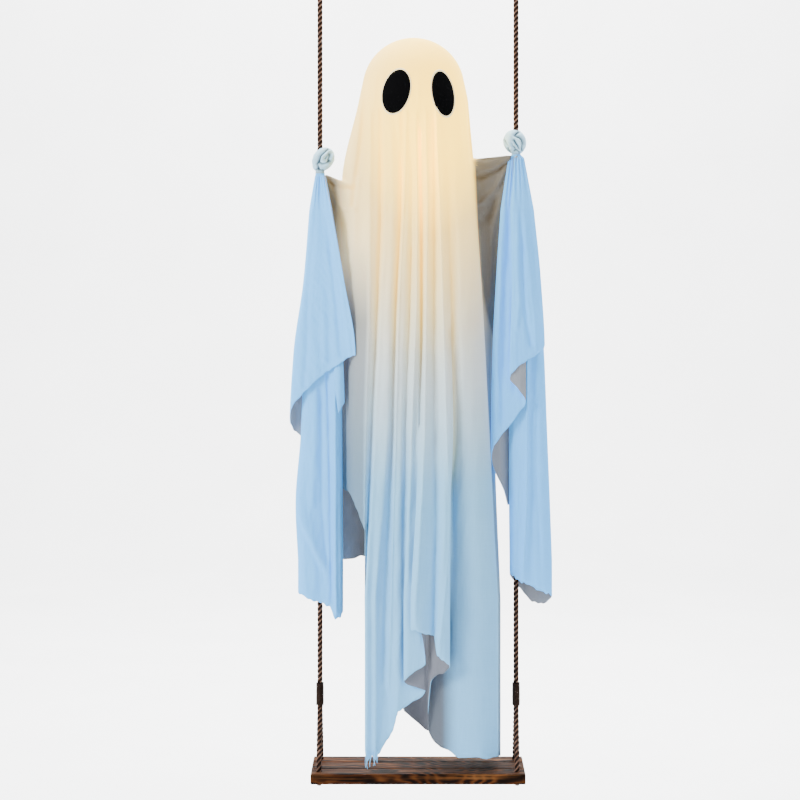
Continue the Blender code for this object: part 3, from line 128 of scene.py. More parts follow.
def run_along(points):
    """How far along a line each of its points lies."""
    return np.concatenate([[0.0], np.cumsum(np.linalg.norm(np.diff(points, axis=0), axis=1))])


def unit(vectors):
    """Vectors of length 1."""
    return vectors / np.linalg.norm(vectors, axis=-1, keepdims=True)


def even_path(points, step):
    """The route's points, spaced evenly this far apart, and how far along it each lies."""
    route = np.array(points)
    route = route[np.concatenate([[True], np.diff(run_along(route)) > 1e-7])]
    run = run_along(route)
    places = np.linspace(0.0, run[-1], max(2, int(run[-1] / step)))
    return np.stack([np.interp(places, run, route[:, axis]) for axis in range(3)], axis=1), places


def path_frames(path):
    """Two cross directions at each point, which turn as little as they can along the path."""
    ahead = unit(np.gradient(path, axis=0))
    across = [unit(np.cross(ahead[0], (1.0, 0.0, 0.0)))]
    for tangent in ahead[1:]:
        across.append(unit(across[-1] - tangent * np.dot(across[-1], tangent)))
    across = np.array(across)
    return across, np.cross(ahead, across)


def grid_faces(downs, count, closed, wide=1.0, base=0):
    """Faces of a grid of points, and their UVs: as wide as this across, and each row's own value down."""
    faces, uvs = [], []
    for row, (top, foot) in enumerate(zip(downs[:-1], downs[1:])):
        here, below = base + row * count, base + (row + 1) * count
        for number in range(count if closed else count - 1):
            after = (number + 1) % count
            faces.append((here + number, below + number, below + after, here + after))
            low, high = number / count * wide, (number + 1) / count * wide
            uvs += [(low, top), (low, foot), (high, foot), (high, top)]
    return faces, uvs


def mesh_object(name, points, faces, uvs):
    """A smooth mesh object in the scene, with a UV map that follows its rows and columns."""
    mesh = bpy.data.meshes.new(name)
    mesh.from_pydata(points, [], faces)
    layer = mesh.uv_layers.new(name="follow")
    layer.data.foreach_set("uv", np.array(uvs, dtype=np.float32).ravel())
    mesh.shade_smooth()
    made = bpy.data.objects.new(name, mesh)
    bpy.context.scene.collection.objects.link(made)
    return made


def point_values(piece, label, values):
    """Store a value at each of the piece's points, for its material to read."""
    layer = piece.data.attributes.new(label, "FLOAT", "POINT")
    layer.data.foreach_set("value", np.array(values, dtype=np.float32))


def tube_mesh(name, centres, rounds, radius, lay=1.0):
    """Closed tubes along lines of centres, each with the direction that its crown shows."""
    points, faces, uvs, crowns = [], [], [], []
    turns = np.arange(rounds) * math.tau / rounds
    for centre, outward in centres:
        base = len(points)
        ahead = unit(np.gradient(centre, axis=0))
        side = unit(np.cross(ahead, outward))
        up = np.cross(side, ahead)
        ring = (
            centre[:, None, :] + radius * np.cos(turns)[None, :, None] * up[:, None, :]
            + radius * np.sin(turns)[None, :, None] * side[:, None, :])
        points += ring.reshape(-1, 3).tolist()
        crowns += np.tile(np.cos(turns), len(centre)).tolist()
        wall, wall_uvs = grid_faces(run_along(centre) / lay, rounds, True, base=base)
        last = len(points) - rounds
        faces += wall + [tuple(range(base, base + rounds)), tuple(reversed(range(last, last + rounds)))]
        uvs += wall_uvs + [(0.0, 0.0)] * (2 * rounds)
    made = mesh_object(name, points, faces, uvs)
    point_values(made, "crown", crowns)
    shape = bmesh.new()
    shape.from_mesh(made.data)
    bmesh.ops.recalc_face_normals(shape, faces=shape.faces)
    shape.to_mesh(made.data)
    shape.free()
    return made


def laid_rope(name, route):
    """Strands twisted right-handed round the route, as one mesh; gives it with its path and its length."""
    path, run = even_path(route, ROPE_DIAMETER / 7)
    across, beside = path_frames(path)
    strand = ROPE_DIAMETER / 2 / (1 + 1 / math.sin(math.pi / STRANDS))
    lines = []
    for number in range(STRANDS):
        turn = math.tau * (run / ROPE_LAY + number / STRANDS)
        outward = np.cos(turn)[:, None] * across + np.sin(turn)[:, None] * beside
        lines.append((path + (ROPE_DIAMETER / 2 - strand) * outward, outward))
    piece = tube_mesh(name, lines, STRAND_ROUNDS, strand * STRAND_SWELL, lay=strand * math.tau)
    return piece, path, float(run[-1])


def upper_route(x):
    """From the cut end through the eye on the hook, and down to where the rope flexes."""
    seat_of_eye = HOOK_WIRE / 2 + SEAM_GAP + ROPE_DIAMETER / 2
    eye_centre = HOOK_AXIS + seat_of_eye - EYE_BEND_RADIUS
    neck = HOOK_AXIS - EYE_LENGTH
    bottom = neck - EYE_SEIZING_LENGTH
    side = STRAND_OFFSET
    quarter = EYE_LENGTH / 4
    up = [
        (x, side, bottom - ROPE_TAIL), (x, side, bottom), (x, side, neck),
        (x, side + quarter / 8, neck + quarter / 4), (x, (side + EYE_BEND_RADIUS) / 2, neck + quarter),
        (x, EYE_BEND_RADIUS * 0.95, neck + 2 * quarter)]
    over = arc((x, 0, eye_centre), EYE_BEND_RADIUS, -8, 188, 12)
    down = [(x, -y, z) for _, y, z in reversed(up)][:-1]
    tail = ROPE_DIAMETER * 2
    lower = [
        (x, -side * 0.85, bottom - tail / 2), (x, -side * 0.3, bottom - 2 * tail),
        (x, 0, bottom - 3.5 * tail)]
    return smooth_route(up)[:-1] + over + smooth_route(down + lower)[1:] + [(x, 0, TILT_AXIS)]


def seat_route(x):
    """Down the front leg, under the board and up the back leg."""
    bottom = TILT_AXIS - SEIZING_LENGTH
    inside = SEIZING_LENGTH - 2 * ROPE_DIAMETER - SEAM_GAP
    hole = HOLE_SPACING / 2
    lean = SEAT_LEG_HEIGHT / 8
    bend_radius = ROPE_DIAMETER
    bend_height = BOARD_BOTTOM - ROPE_DIAMETER / 2 - SEAM_GAP + bend_radius
    leg = [
        (x, STRAND_OFFSET, bottom + inside), (x, STRAND_OFFSET, bottom + inside / 2),
        (x, STRAND_OFFSET, bottom), (x, STRAND_OFFSET * 1.2, bottom - lean / 2),
        (x, hole * 0.26, bottom - 1.5 * lean),
        (x, hole * 0.62, BOARD_TOP + 3.7 * lean), (x, hole * 0.97, BOARD_TOP + lean), (x, hole, BOARD_TOP),
        (x, hole, (BOARD_TOP + BOARD_BOTTOM) / 2)]
    front = [(x, -y, z) for _, y, z in leg]
    centre = hole - bend_radius
    under = arc((x, -centre, bend_height), bend_radius, 180, 270, 6)
    under += arc((x, centre, bend_height), bend_radius, 270, 360, 6)
    return smooth_route(front) + under + smooth_route(leg)[::-1]


rope_pieces = []
for side_name, side in SIDES:
    rope_x = side * ROPE_SPAN / 2
    for kind, body, route in (
            ("rope", "swing", upper_route(rope_x)), ("seat_rope", "seat", seat_route(rope_x))):
        piece, path, length = laid_rope("laid_" + kind + "_" + side_name, route)
        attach(piece, body)
        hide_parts(kind + "_" + side_name)
        rope_pieces.append(piece)


def group_of(name, inputs, outputs):
    """An empty shader group with named inputs and outputs; gives the group and its two end nodes."""
    made = bpy.data.node_groups.new(name, "ShaderNodeTree")
    for label, kind, value in inputs:
        socket = made.interface.new_socket(name=label, in_out="INPUT", socket_type=kind)
        if value is not None:
            socket.default_value = value
    for label, kind in outputs:
        made.interface.new_socket(name=label, in_out="OUTPUT", socket_type=kind)
    return made, made.nodes.new("NodeGroupInput"), made.nodes.new("NodeGroupOutput")


def maths(tree, operation, first, second=None, third=None):
    """A Math node; each term is a socket or a number. Gives its output."""
    made = tree.nodes.new("ShaderNodeMath")
    made.operation = operation
    for socket, term in zip(made.inputs, (first, second, third)):
        if term is None:
            continue
        if isinstance(term, (int, float)):
            socket.default_value = term
        else:
            tree.links.new(term, socket)
    return made.outputs[0]


def blend_colours(tree, share, low, high, mode="MIX"):
    """A colour between two; share and colours are sockets or plain values."""
    made = tree.nodes.new("ShaderNodeMix")
    made.data_type = "RGBA"
    made.blend_type = mode
    for socket, term in ((made.inputs[0], share), (made.inputs[6], low), (made.inputs[7], high)):
        if isinstance(term, (int, float)):
            socket.default_value = term
        elif isinstance(term, tuple):
            socket.default_value = (*term, 1.0)
        else:
            tree.links.new(term, socket)
    return made.outputs[2]


def ramp(tree, value, stops):
    """A colour ramp read at a value, from (place, colour) stops; one number stands for a grey."""
    made = tree.nodes.new("ShaderNodeValToRGB")
    while len(made.color_ramp.elements) < len(stops):
        made.color_ramp.elements.new(0.5)
    for element, (place, colour) in zip(made.color_ramp.elements, stops):
        element.position = place
        element.color = (colour, colour, colour, 1.0) if isinstance(colour, float) else (*colour, 1.0)
    tree.links.new(value, made.inputs[0])
    return made.outputs[0]


def noise(tree, vector, scale, detail=3.0, roughness=0.5, distortion=0.0):
    """A noise read at a place; gives its value."""
    made = tree.nodes.new("ShaderNodeTexNoise")
    made.inputs["Scale"].default_value = scale
    made.inputs["Detail"].default_value = detail
    made.inputs["Roughness"].default_value = roughness
    made.inputs["Distortion"].default_value = distortion
    tree.links.new(vector, made.inputs["Vector"])
    return made.outputs[0]


def stretched(tree, vector, scale):
    """A place scaled along each axis."""
    made = tree.nodes.new("ShaderNodeMapping")
    made.inputs["Scale"].default_value = scale
    tree.links.new(vector, made.inputs["Vector"])
    return made.outputs[0]


def new_material(name, roughness=0.5, metallic=0.0, **sockets):
    """A Principled material; gives it with its tree, its shader and its Object coordinates."""
    made = bpy.data.materials.new(name)
    made.use_nodes = True
    tree = made.node_tree
    shader = tree.nodes["Principled BSDF"]
    shader.inputs["Roughness"].default_value = roughness
    shader.inputs["Metallic"].default_value = metallic
    for label, value in sockets.items():
        shader.inputs[label.replace("_", " ")].default_value = value
    place = tree.nodes.new("ShaderNodeTexCoord").outputs["Object"]
    return made, tree, shader, place


def threads_at(tree):
    """The piece's own UV map, which follows its strands or threads."""
    follow = tree.nodes.new("ShaderNodeUVMap")
    follow.uv_map = "follow"
    return follow.outputs[0]


def parts_of(tree, vector):
    """The three parts of a vector."""
    made = tree.nodes.new("ShaderNodeSeparateXYZ")
    tree.links.new(vector, made.inputs[0])
    return made.outputs


def value_of(tree, label):
    """A value stored at the piece's points."""
    made = tree.nodes.new("ShaderNodeAttribute")
    made.attribute_name = label
    return made.outputs["Fac"]


def ribs(tree, value, count=1.0):
    """Rounded ribs across a value, this many to each whole step of it."""
    return maths(tree, "ABSOLUTE", maths(tree, "SINE", maths(tree, "MULTIPLY", value, math.pi * count)))


def toned(tree, share, colour, value, stops):
    """A colour multiplied, by this share, with a ramp read at a value."""
    return blend_colours(tree, share, colour, ramp(tree, value, stops), mode="MULTIPLY")


def bumped(tree, shader, height, distance, strength=1.0):
    """Feed a height into the shader's normal."""
    bump = tree.nodes.new("ShaderNodeBump")
    bump.inputs["Distance"].default_value = distance
    bump.inputs["Strength"].default_value = strength
    tree.links.new(height, bump.inputs["Height"])
    tree.links.new(bump.outputs[0], shader.inputs["Normal"])


def yarn_material(name, dark, pale, yarn_turns, crown_highlight):
    """Twisted yarn: fine slanting fibres along each strand, with a painted highlight on each strand's crown.
    """
    made, tree, shader, place = new_material(name, roughness=0.9, Specular_IOR_Level=0.15)
    round_it, along, _ = parts_of(tree, threads_at(tree))
    yarns = ribs(tree, maths(tree, "MULTIPLY_ADD", along, 0.9, round_it), yarn_turns)
    fuzz = noise(tree, stretched(tree, place, (1.0, 1.0, 0.45)), 900.0, 4.0, 0.65)
    blotch = noise(tree, place, 60.0, 3.0, 0.6)
    # Painted highlight: each strand's outward crown is painted pale, as if it caught the light.
    wear_and_sheen = maths(tree, "POWER", maths(tree, "MULTIPLY_ADD", value_of(tree, "crown"), 0.5, 0.5), 9.0)
    for value, share, least in ((blotch, 1.2, -0.1), (fuzz, 1.1, 0.25), (yarns, 0.6, 0.4)):
        wear_and_sheen = maths(tree, "MULTIPLY", wear_and_sheen, maths(tree, "MULTIPLY_ADD", value, share, least))
    wear_and_sheen = maths(tree, "MULTIPLY", wear_and_sheen, crown_highlight)
    colour = toned(tree, 0.7, blend_colours(tree, wear_and_sheen, dark, pale), fuzz, (
        (0.3, (0.35, 0.3, 0.28)), (0.7, 1.0)))
    tree.links.new(colour, shader.inputs["Base Color"])
    height = maths(tree, "ADD", maths(tree, "MULTIPLY", yarns, 0.7), maths(tree, "MULTIPLY", fuzz, 0.6))
    bumped(tree, shader, height, 0.0005, 0.9)
    return made


# The rope's pale colour is the painted highlight on its strand crowns.
rope_material = yarn_material("laid_brown_rope", (0.008, 0.003, 0.002), (0.42, 0.235, 0.16), 5.0, 1.6)
for piece in rope_pieces:
    piece.data.materials.append(rope_material)


# The seizings. Waxed dark twine is wound tightly round both parts of the rope, turn against turn, and its
# end is pulled back under the last turns. One closes each eye, and one gathers each end of the seat.

TWINE_DIAMETER = 0.0016
TWINE_PITCH = TWINE_DIAMETER * 1.02
TWINE_STEPS = 28                 # points on a turn
TWINE_ROUNDS = 8


def wound_twine(name, x, top, length, start_reach, reach):
    """A close helix round an oval that widens to its full reach half way down."""
    turns = int(length / TWINE_PITCH) - 1
    half_width = ROPE_DIAMETER / 2 + SEAM_GAP + TWINE_DIAMETER / 2
    line = []
    outward = []
    for number in range(turns * TWINE_STEPS + 1):
        share = number / (turns * TWINE_STEPS)
        angle = math.tau * number / TWINE_STEPS
        long = start_reach + (reach - start_reach) * min(1.0, 2 * share)
        wobble = 1 + 0.02 * math.sin(5.3 * angle / math.tau)
        across, deep = math.cos(angle), math.sin(angle)
        line.append((
            x + half_width * wobble * across,
            math.copysign(long, deep) * min(1.0, abs(deep) * 4) + half_width * deep,
            top - TWINE_DIAMETER / 2 - (length - TWINE_DIAMETER) * share))
        outward.append((across, deep, 0.0))
    centres = [(np.array(line), np.array(outward))]
    return tube_mesh(name, centres, TWINE_ROUNDS, TWINE_DIAMETER / 2, lay=TWINE_DIAMETER * 3)


# The twine's pale colour is a painted highlight on its outward side.
twine_material = yarn_material("dark_waxed_twine", (0.008, 0.0035, 0.002), (0.16, 0.085, 0.055), 3.0, 0.8)
for side_name, side in SIDES:
    rope_x = side * ROPE_SPAN / 2
    eye = wound_twine(
        "wound_eye_seizing_" + side_name, rope_x, HOOK_AXIS - EYE_LENGTH, EYE_SEIZING_LENGTH, STRAND_OFFSET,
        STRAND_OFFSET)
    seat = wound_twine("wound_seizing_" + side_name, rope_x, TILT_AXIS, SEIZING_LENGTH, 0.0, STRAND_OFFSET)
    for piece, body, replaced in ((eye, "swing", "eye_seizing_"), (seat, "seat", "seizing_")):
        piece.data.materials.append(twine_material)
        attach(piece, body)
        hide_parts(replaced + side_name)


# The screw hooks, the hinge's pin and the door's screw are zinc-plated steel: bright, faintly blue and yellow
# by turns, with fine drawing lines and dull specks where the plate has aged. The contacts are nickel.

def worn_edges():
    """A group for every hard piece: a mottled finish, fine scratches and their height."""
    made, start, end = group_of(
        "worn_surface",
        [("Place", "NodeSocketVector", None), ("Scale", "NodeSocketFloat", 60.0),
         ("Base", "NodeSocketColor", None), ("Aged", "NodeSocketColor", None),
         ("Rough", "NodeSocketFloat", 0.4)],
        [("Colour", "NodeSocketColor"), ("Roughness", "NodeSocketFloat"), ("Height", "NodeSocketFloat")])
    field = made.nodes.new("ShaderNodeTexNoise")
    field.inputs["Detail"].default_value = 6.0
    field.inputs["Roughness"].default_value = 0.62
    made.links.new(start.outputs["Place"], field.inputs["Vector"])
    made.links.new(start.outputs["Scale"], field.inputs["Scale"])
    fine_scale = maths(made, "MULTIPLY", start.outputs["Scale"], 14.0)
    fine = made.nodes.new("ShaderNodeTexNoise")
    fine.inputs["Detail"].default_value = 3.0
    made.links.new(start.outputs["Place"], fine.inputs["Vector"])
    made.links.new(fine_scale, fine.inputs["Scale"])
    mottle = maths(made, "MULTIPLY_ADD", field.outputs[0], 2.4, -0.75)
    mottle = maths(made, "MINIMUM", maths(made, "MAXIMUM", mottle, 0.0), 1.0)
    colour = blend_colours(made, mottle, start.outputs["Base"], start.outputs["Aged"])
    made.links.new(colour, end.inputs["Colour"])
    uneven = maths(made, "MULTIPLY_ADD", field.outputs[0], 0.3, -0.15)
    made.links.new(maths(made, "ADD", start.outputs["Rough"], uneven), end.inputs["Roughness"])
    made.links.new(maths(made, "ADD", fine.outputs[0], field.outputs[0]), end.inputs["Height"])
    return made


WORN = worn_edges()


def hard_material(name, base, aged, roughness, metallic=0.0, scale=60.0, height=0.00005, **sockets):
    """Metal or moulded plastic, mottled and faintly pitted."""
    made, tree, shader, place = new_material(name, roughness, metallic, **sockets)
    wear_and_sheen = tree.nodes.new("ShaderNodeGroup")
    wear_and_sheen.node_tree = WORN
    wear_and_sheen.inputs["Scale"].default_value = scale
    wear_and_sheen.inputs["Base"].default_value = (*base, 1.0)
    wear_and_sheen.inputs["Aged"].default_value = (*aged, 1.0)
    wear_and_sheen.inputs["Rough"].default_value = roughness
    tree.links.new(place, wear_and_sheen.inputs["Place"])
    tree.links.new(wear_and_sheen.outputs["Colour"], shader.inputs["Base Color"])
    tree.links.new(wear_and_sheen.outputs["Roughness"], shader.inputs["Roughness"])
    bumped(tree, shader, wear_and_sheen.outputs["Height"], height, 0.6)
    return made


def dress(material, *names):
    """Give CAD nodes that keep their own shape their finish."""
    for name in names:
        nodes[name].data.materials.clear()
        nodes[name].data.materials.append(material)


dress(hard_material("zinc_plate", (0.62, 0.63, 0.65), (0.42, 0.41, 0.4), 0.3, 1.0, scale=90.0),
      "hook_left", "hook_right", "door_screw", "hinge_pin")
dress(hard_material("nickel_spring", (0.7, 0.68, 0.64), (0.5, 0.47, 0.42), 0.22, 1.0, scale=200.0),
      "contact_spring_1", "contact_spring_2", "contact_spring_3")


# The seat. One narrow pine plank, scorched with a flame and brushed, so that its hard grain stands dark
# and its soft grain is worn. Two V grooves run along its top, and each corner has a hole for the rope.

def burnt_pine():
    """Scorched pine: dark rings stretched along the plank, pale brushed streaks, a knot and sooty patches."""
    made, tree, shader, place = new_material("scorched_pine", roughness=0.8, Specular_IOR_Level=0.05)
    warp = noise(tree, stretched(tree, place, (2.2, 9.0, 9.0)), 3.2, 3.0, 0.5)
    along, across, up = parts_of(tree, place)

    def far_squared(part, scale, shift):
        return maths(tree, "POWER", maths(tree, "MULTIPLY_ADD", part, scale, shift), 2.0)

    knot_far = maths(tree, "ADD", far_squared(along, 34.0, 1.9), far_squared(across, 60.0, 2.35))
    knot_pull = maths(tree, "DIVIDE", 0.5, maths(tree, "ADD", knot_far, 0.35))
    arc_pull = maths(tree, "DIVIDE", 4.5, maths(tree, "ADD", far_squared(along, 21.0, -1.1), 1.0))
    rings_at = maths(tree, "MULTIPLY_ADD", across, 95.0, arc_pull)
    for value, share in ((warp, 5.5), (up, 60.0), (knot_pull, 2.4)):
        rings_at = maths(tree, "MULTIPLY_ADD", value, share, rings_at)
    rings = maths(tree, "SINE", maths(tree, "MULTIPLY", rings_at, math.tau))
    rings = maths(tree, "MULTIPLY_ADD", rings, 0.5, 0.5)
    fibres = noise(tree, stretched(tree, place, (14.0, 420.0, 420.0)), 1.0, 5.0, 0.7)
    streaks = noise(tree, stretched(tree, place, (5.0, 130.0, 130.0)), 1.0, 4.0, 0.65)
    soot = noise(tree, stretched(tree, place, (9.0, 22.0, 22.0)), 1.0, 4.0, 0.6)
    base = ramp(tree, rings, (
        (0.0, (0.005, 0.0018, 0.0008)), (0.35, (0.014, 0.005, 0.0016)), (0.7, (0.045, 0.014, 0.004)),
        (1.0, (0.088, 0.030, 0.008))))
    wear_and_sheen = maths(tree, "MULTIPLY_ADD", streaks, 4.6, -2.55)
    wear_and_sheen = maths(tree, "MINIMUM", maths(tree, "MAXIMUM", wear_and_sheen, 0.0), 0.75)
    colour = blend_colours(tree, wear_and_sheen, base, (0.17, 0.070, 0.022))
    for share, value, stops in (
            (0.85, soot, ((0.35, (0.32, 0.24, 0.18)), (0.6, 1.0))),
            (0.6, fibres, ((0.3, (0.4, 0.36, 0.34)), (0.65, 1.0))),
            (0.9, knot_far, ((0.0, 0.0), (0.5, 0.15), (0.9, 1.0)))):
        colour = toned(tree, share, colour, value, stops)
    tree.links.new(colour, shader.inputs["Base Color"])
    tree.links.new(maths(tree, "MULTIPLY_ADD", streaks, -0.2, 0.85), shader.inputs["Roughness"])
    height = maths(tree, "ADD", maths(tree, "MULTIPLY", fibres, 0.6), maths(tree, "MULTIPLY", rings, -0.5))
    bumped(tree, shader, height, 0.0009, 0.8)
    return made


dress(burnt_pine(), "seat_board")


# The inner frame, which nothing shows from in front: a dowel from rope to rope in two snap-on clips, a tee,
# and an upright tube. The bar and the fittings are black moulded plastic, and the tube is white.

dress(hard_material("black_moulding", (0.012, 0.012, 0.013), (0.03, 0.03, 0.032), 0.42, scale=70.0),
      "shoulder_bar", "bar_clip_left", "bar_clip_right", "neck_tee", "lamp_base")
white_material = hard_material("white_moulding", (0.78, 0.78, 0.76), (0.66, 0.65, 0.61), 0.4, scale=55.0)
dress(white_material, "neck_tube")


# The head and its lamp. A milky blown globe gives the head its round, and a painted glow on it stands in for
# the light of the warm lamp that stands in its mouth: a bright disc under a frosted dome, on a black base.

dress(hard_material("milky_globe", (0.9, 0.86, 0.76), (0.8, 0.75, 0.64), 0.35, scale=25.0,
                    Emission_Color=(1.0, 0.62, 0.28, 1.0), Emission_Strength=0.5), "head_form")
dress(hard_material("frosted_dome", (1.0, 0.86, 0.62), (0.95, 0.76, 0.5), 0.3, scale=45.0,
                    Emission_Color=(1.0, 0.6, 0.24, 1.0), Emission_Strength=2.5), "lamp_dome", "lamp_disc")


# The battery box under the tee: a black moulded tray and its hinged door, three plain cells with nickel
# buttons, and a white ribbed switch on its right side.

dress(hard_material("black_textured_moulding", (0.014, 0.014, 0.016), (0.03, 0.03, 0.033), 0.5, scale=240.0,
                    height=0.00012), "battery_box", "battery_door")
dress(hard_material("cell_sleeve", (0.06, 0.06, 0.07), (0.11, 0.11, 0.12), 0.25, scale=80.0, Coat_Weight=0.4),
      "battery_cell_1", "battery_cell_2", "battery_cell_3")
dress(white_material, "switch_slider")


# The cloth. A thin white muslin sheet is draped over the globe and tied to both ropes; its colour holds
# painted light, warm at the head and pale blue lower down, and painted shade in its recesses.
# It falls in long pleats that start under the chin, and its raw hem steps from layer to layer. Its folds
# are read from the photograph, in pixels across, down and towards the lens.

HEAD_CENTRE_PIXEL = (413.5, 89.0)
HEAD_ROUND_PIXEL = 51.0
HEAD_X = (HEAD_CENTRE_PIXEL[0] - SWING_CENTRE_PIXEL) * METRES_PER_PIXEL
BROW_PIXEL = 77.0
CHEEK_PIXEL = 100.0
CHEEK_ROUND_PIXEL = 54.5
WAIST_PIXEL = 430.0
CLOTH_THICKNESS = 0.0009
SHEET_THREADS = (760.0, 1300.0)  # in the cloth's weave, round and down
PLEAT_PARTS = 6                  # columns of points to a pleat
CROWN_ROWS = 16
DROP_ROWS = 62                   # below the waist
THREAD_RADIUS = 0.0004
THREAD_POINTS = 14
THREAD_ROUNDS = 6
THREAD_TOWARD = 39.4
BAR_DROP = 0.4964
BAR_ROOM = 0.0105
BAR_PIXEL = (FRAME_TOP + BAR_DROP) / METRES_PER_PIXEL
BAR_CLEAR_PIXEL = 8.2
PLEAT_LEVELS = (CHEEK_PIXEL, 180.0, 310.0, WAIST_PIXEL, 600.0)
SHEET_BANDS = ((BROW_PIXEL + 2.0, 150.0, CROWN_ROWS), (152.0, 220.0, 34), (225.0, WAIST_PIXEL, 34))
GATHERS = ((324.5, 172.0), (510.5, 153.5))  # where each knot's creases meet, across and down
FREE_PIXEL = 115.0               # the cloth hangs free of the head below this

# Each pleat: across at the five levels, depth at the third and at the last, and its hem.
FRONT_PLEATS = (
    (359.5, 342, 338, 336, 337, -12, -12, 486), (361, 345, 345, 343.5, 346, -4, -2, 489),
    (362.5, 348, 351, 349.5, 352, 14, 13, 494),
    (364, 352, 356, 353, 356, 24, 22, 501), (367, 361, 362, 359, 361, 31, 30, 518),
    (370, 370, 369.5, 366, 364, 39, 36, 532), (375, 381, 377, 371.5, 365.5, 35, 34, 660),
    (377.5, 383.5, 379, 373.5, 364.8, 38, 37, 750), (380, 386, 381, 375.5, 367, 41, 39, 762),
    (383, 390, 385.5, 381, 371.5, 41.5, 37, 756), (386, 394, 390, 387, 375.5, 42, 39, 760),
    (388.5, 398, 393, 390, 380, 39.5, 35, 752), (391, 401.5, 395.5, 392.5, 387, 37, 33, 741),
    (393.5, 403.5, 397.5, 394.5, 392.5, 40, 36, 731), (395.5, 405, 399.5, 396.5, 396.5, 42, 38, 716),
    (400, 408.5, 404, 401, 399.5, 42, 38, 712), (404, 412, 409.5, 405, 410, 38, 35, 704),
    (407, 414, 411.5, 407, 425, 39.5, 36, 691), (409.5, 416, 413.5, 409, 405, 41.5, 41, 683),
    (412, 417.5, 416, 411.5, 407, 43.5, 45, 678), (414.5, 418.7, 418.4, 415, 421, 42, 43.5, 668),
    (415.5, 419.2, 419.2, 417, 425, 41.5, 44, 663), (416.5, 420, 420.2, 418, 420, 39.5, 47, 626),
    (418, 421, 421.5, 419.5, 410.5, 37.5, 51, 629.5), (422, 427.5, 426, 424.5, 417, 44, 56, 631),
    (426, 432, 431.5, 431, 427, 40, 50, 634), (430, 435, 436, 437, 434, 39, 46, 637),
    (433, 438, 440, 442.5, 437, 42, 49, 656), (436, 440, 443.5, 446.5, 444, 44, 52, 661),
    (440, 443, 447.5, 451, 450, 40, 46, 667), (444, 446, 450, 453, 441, 38, 42, 674),
    (446, 448, 452, 454.5, 431, 37.5, 38, 681), (448, 450, 454, 456, 429, 38.5, 27, 732),
    (450, 453, 458, 460, 440, 39.5, 29, 747), (453, 457, 463, 465, 458, 40, 33, 757),
    (459, 465, 473, 476, 480, 34, 34, 758), (464.5, 471.5, 482.5, 489, 496.5, 21, 22, 757),
    (466, 471, 480, 486, 497.5, 9, 12, 756.5), (467, 473.5, 488, 491, 499.5, 1, 4, 756),
    (467.5, 476, 498, 495, 500.5, -3, -2, 755))
BACK_PLEATS = (
    (466, 471, 482, 488, 497, -20, -18, 750), (452, 456, 463, 466, 468, -36, -33, 742),
    (436, 438, 444, 446, 446, -32, -28, 740), (420, 421, 425, 426, 425, -43, -39, 728),
    (402, 402, 405, 405, 404, -36, -33, 712), (384, 382, 382, 381, 382, -41, -35, 640),
    (374, 370, 370, 369, 369, -35, -29, 555), (366, 358, 357, 356, 358, -27, -22, 557),
    (361.5, 347, 342, 340, 341, -19, -18, 560))

# The pull of each knot: the room it leaves round the rope, and at each row where it draws the cloth to, how
# strongly and how far up. The pull dies out over the next pleats, sooner at the front than at the back.
LEFT_PULL = (9.0, (181, 190, 212, 255, 310), (324.8,) * 5, (0, 1, 0.9, 0.35, 0), (0, 16, 9, 0, 0))
RIGHT_PULL = (
    7.0, (159, 170, 190, 215, 255, 310, 370), (511.2, 511.2, 509, 506.5, 505, 505, 505),
    (0, 1, 1, 0.9, 0.75, 0.3, 0), (0, 15, 15, 6, 0, 0, 0))
FRONT_FADE = (1.0, 0.62, 0.16, 0.03, 0.0)
BACK_FADE = (1.0, 0.62, 0.3, 0.1, 0.0)

# Where shade is painted on the sheet, in pixels, or in pleats counted from the left edge.
PANEL_PLEAT = 32                 # the right panel starts here, behind the flaps
PANEL_SHADE_ACROSS = 459.0
PANEL_SHADE_DOWN = 540.0
EDGE_SHADE_PLEAT = 5.4
EDGE_SHADE_DOWN = 240.0
TUCK_SHADE_DOWN = 160.0
WEBS_PART = 420.0                # left of this, a web is the left knot's
# Painted warm light: a streak along one bright fold, and warmth in the crease valleys, between these downs.
WARM_LINE = 453.0                # one bright fold
WARM_LINE_DOWN = (200, 300, 450, 500)
WARM_FOLDS_DOWN = (90, 130, 300, 400)

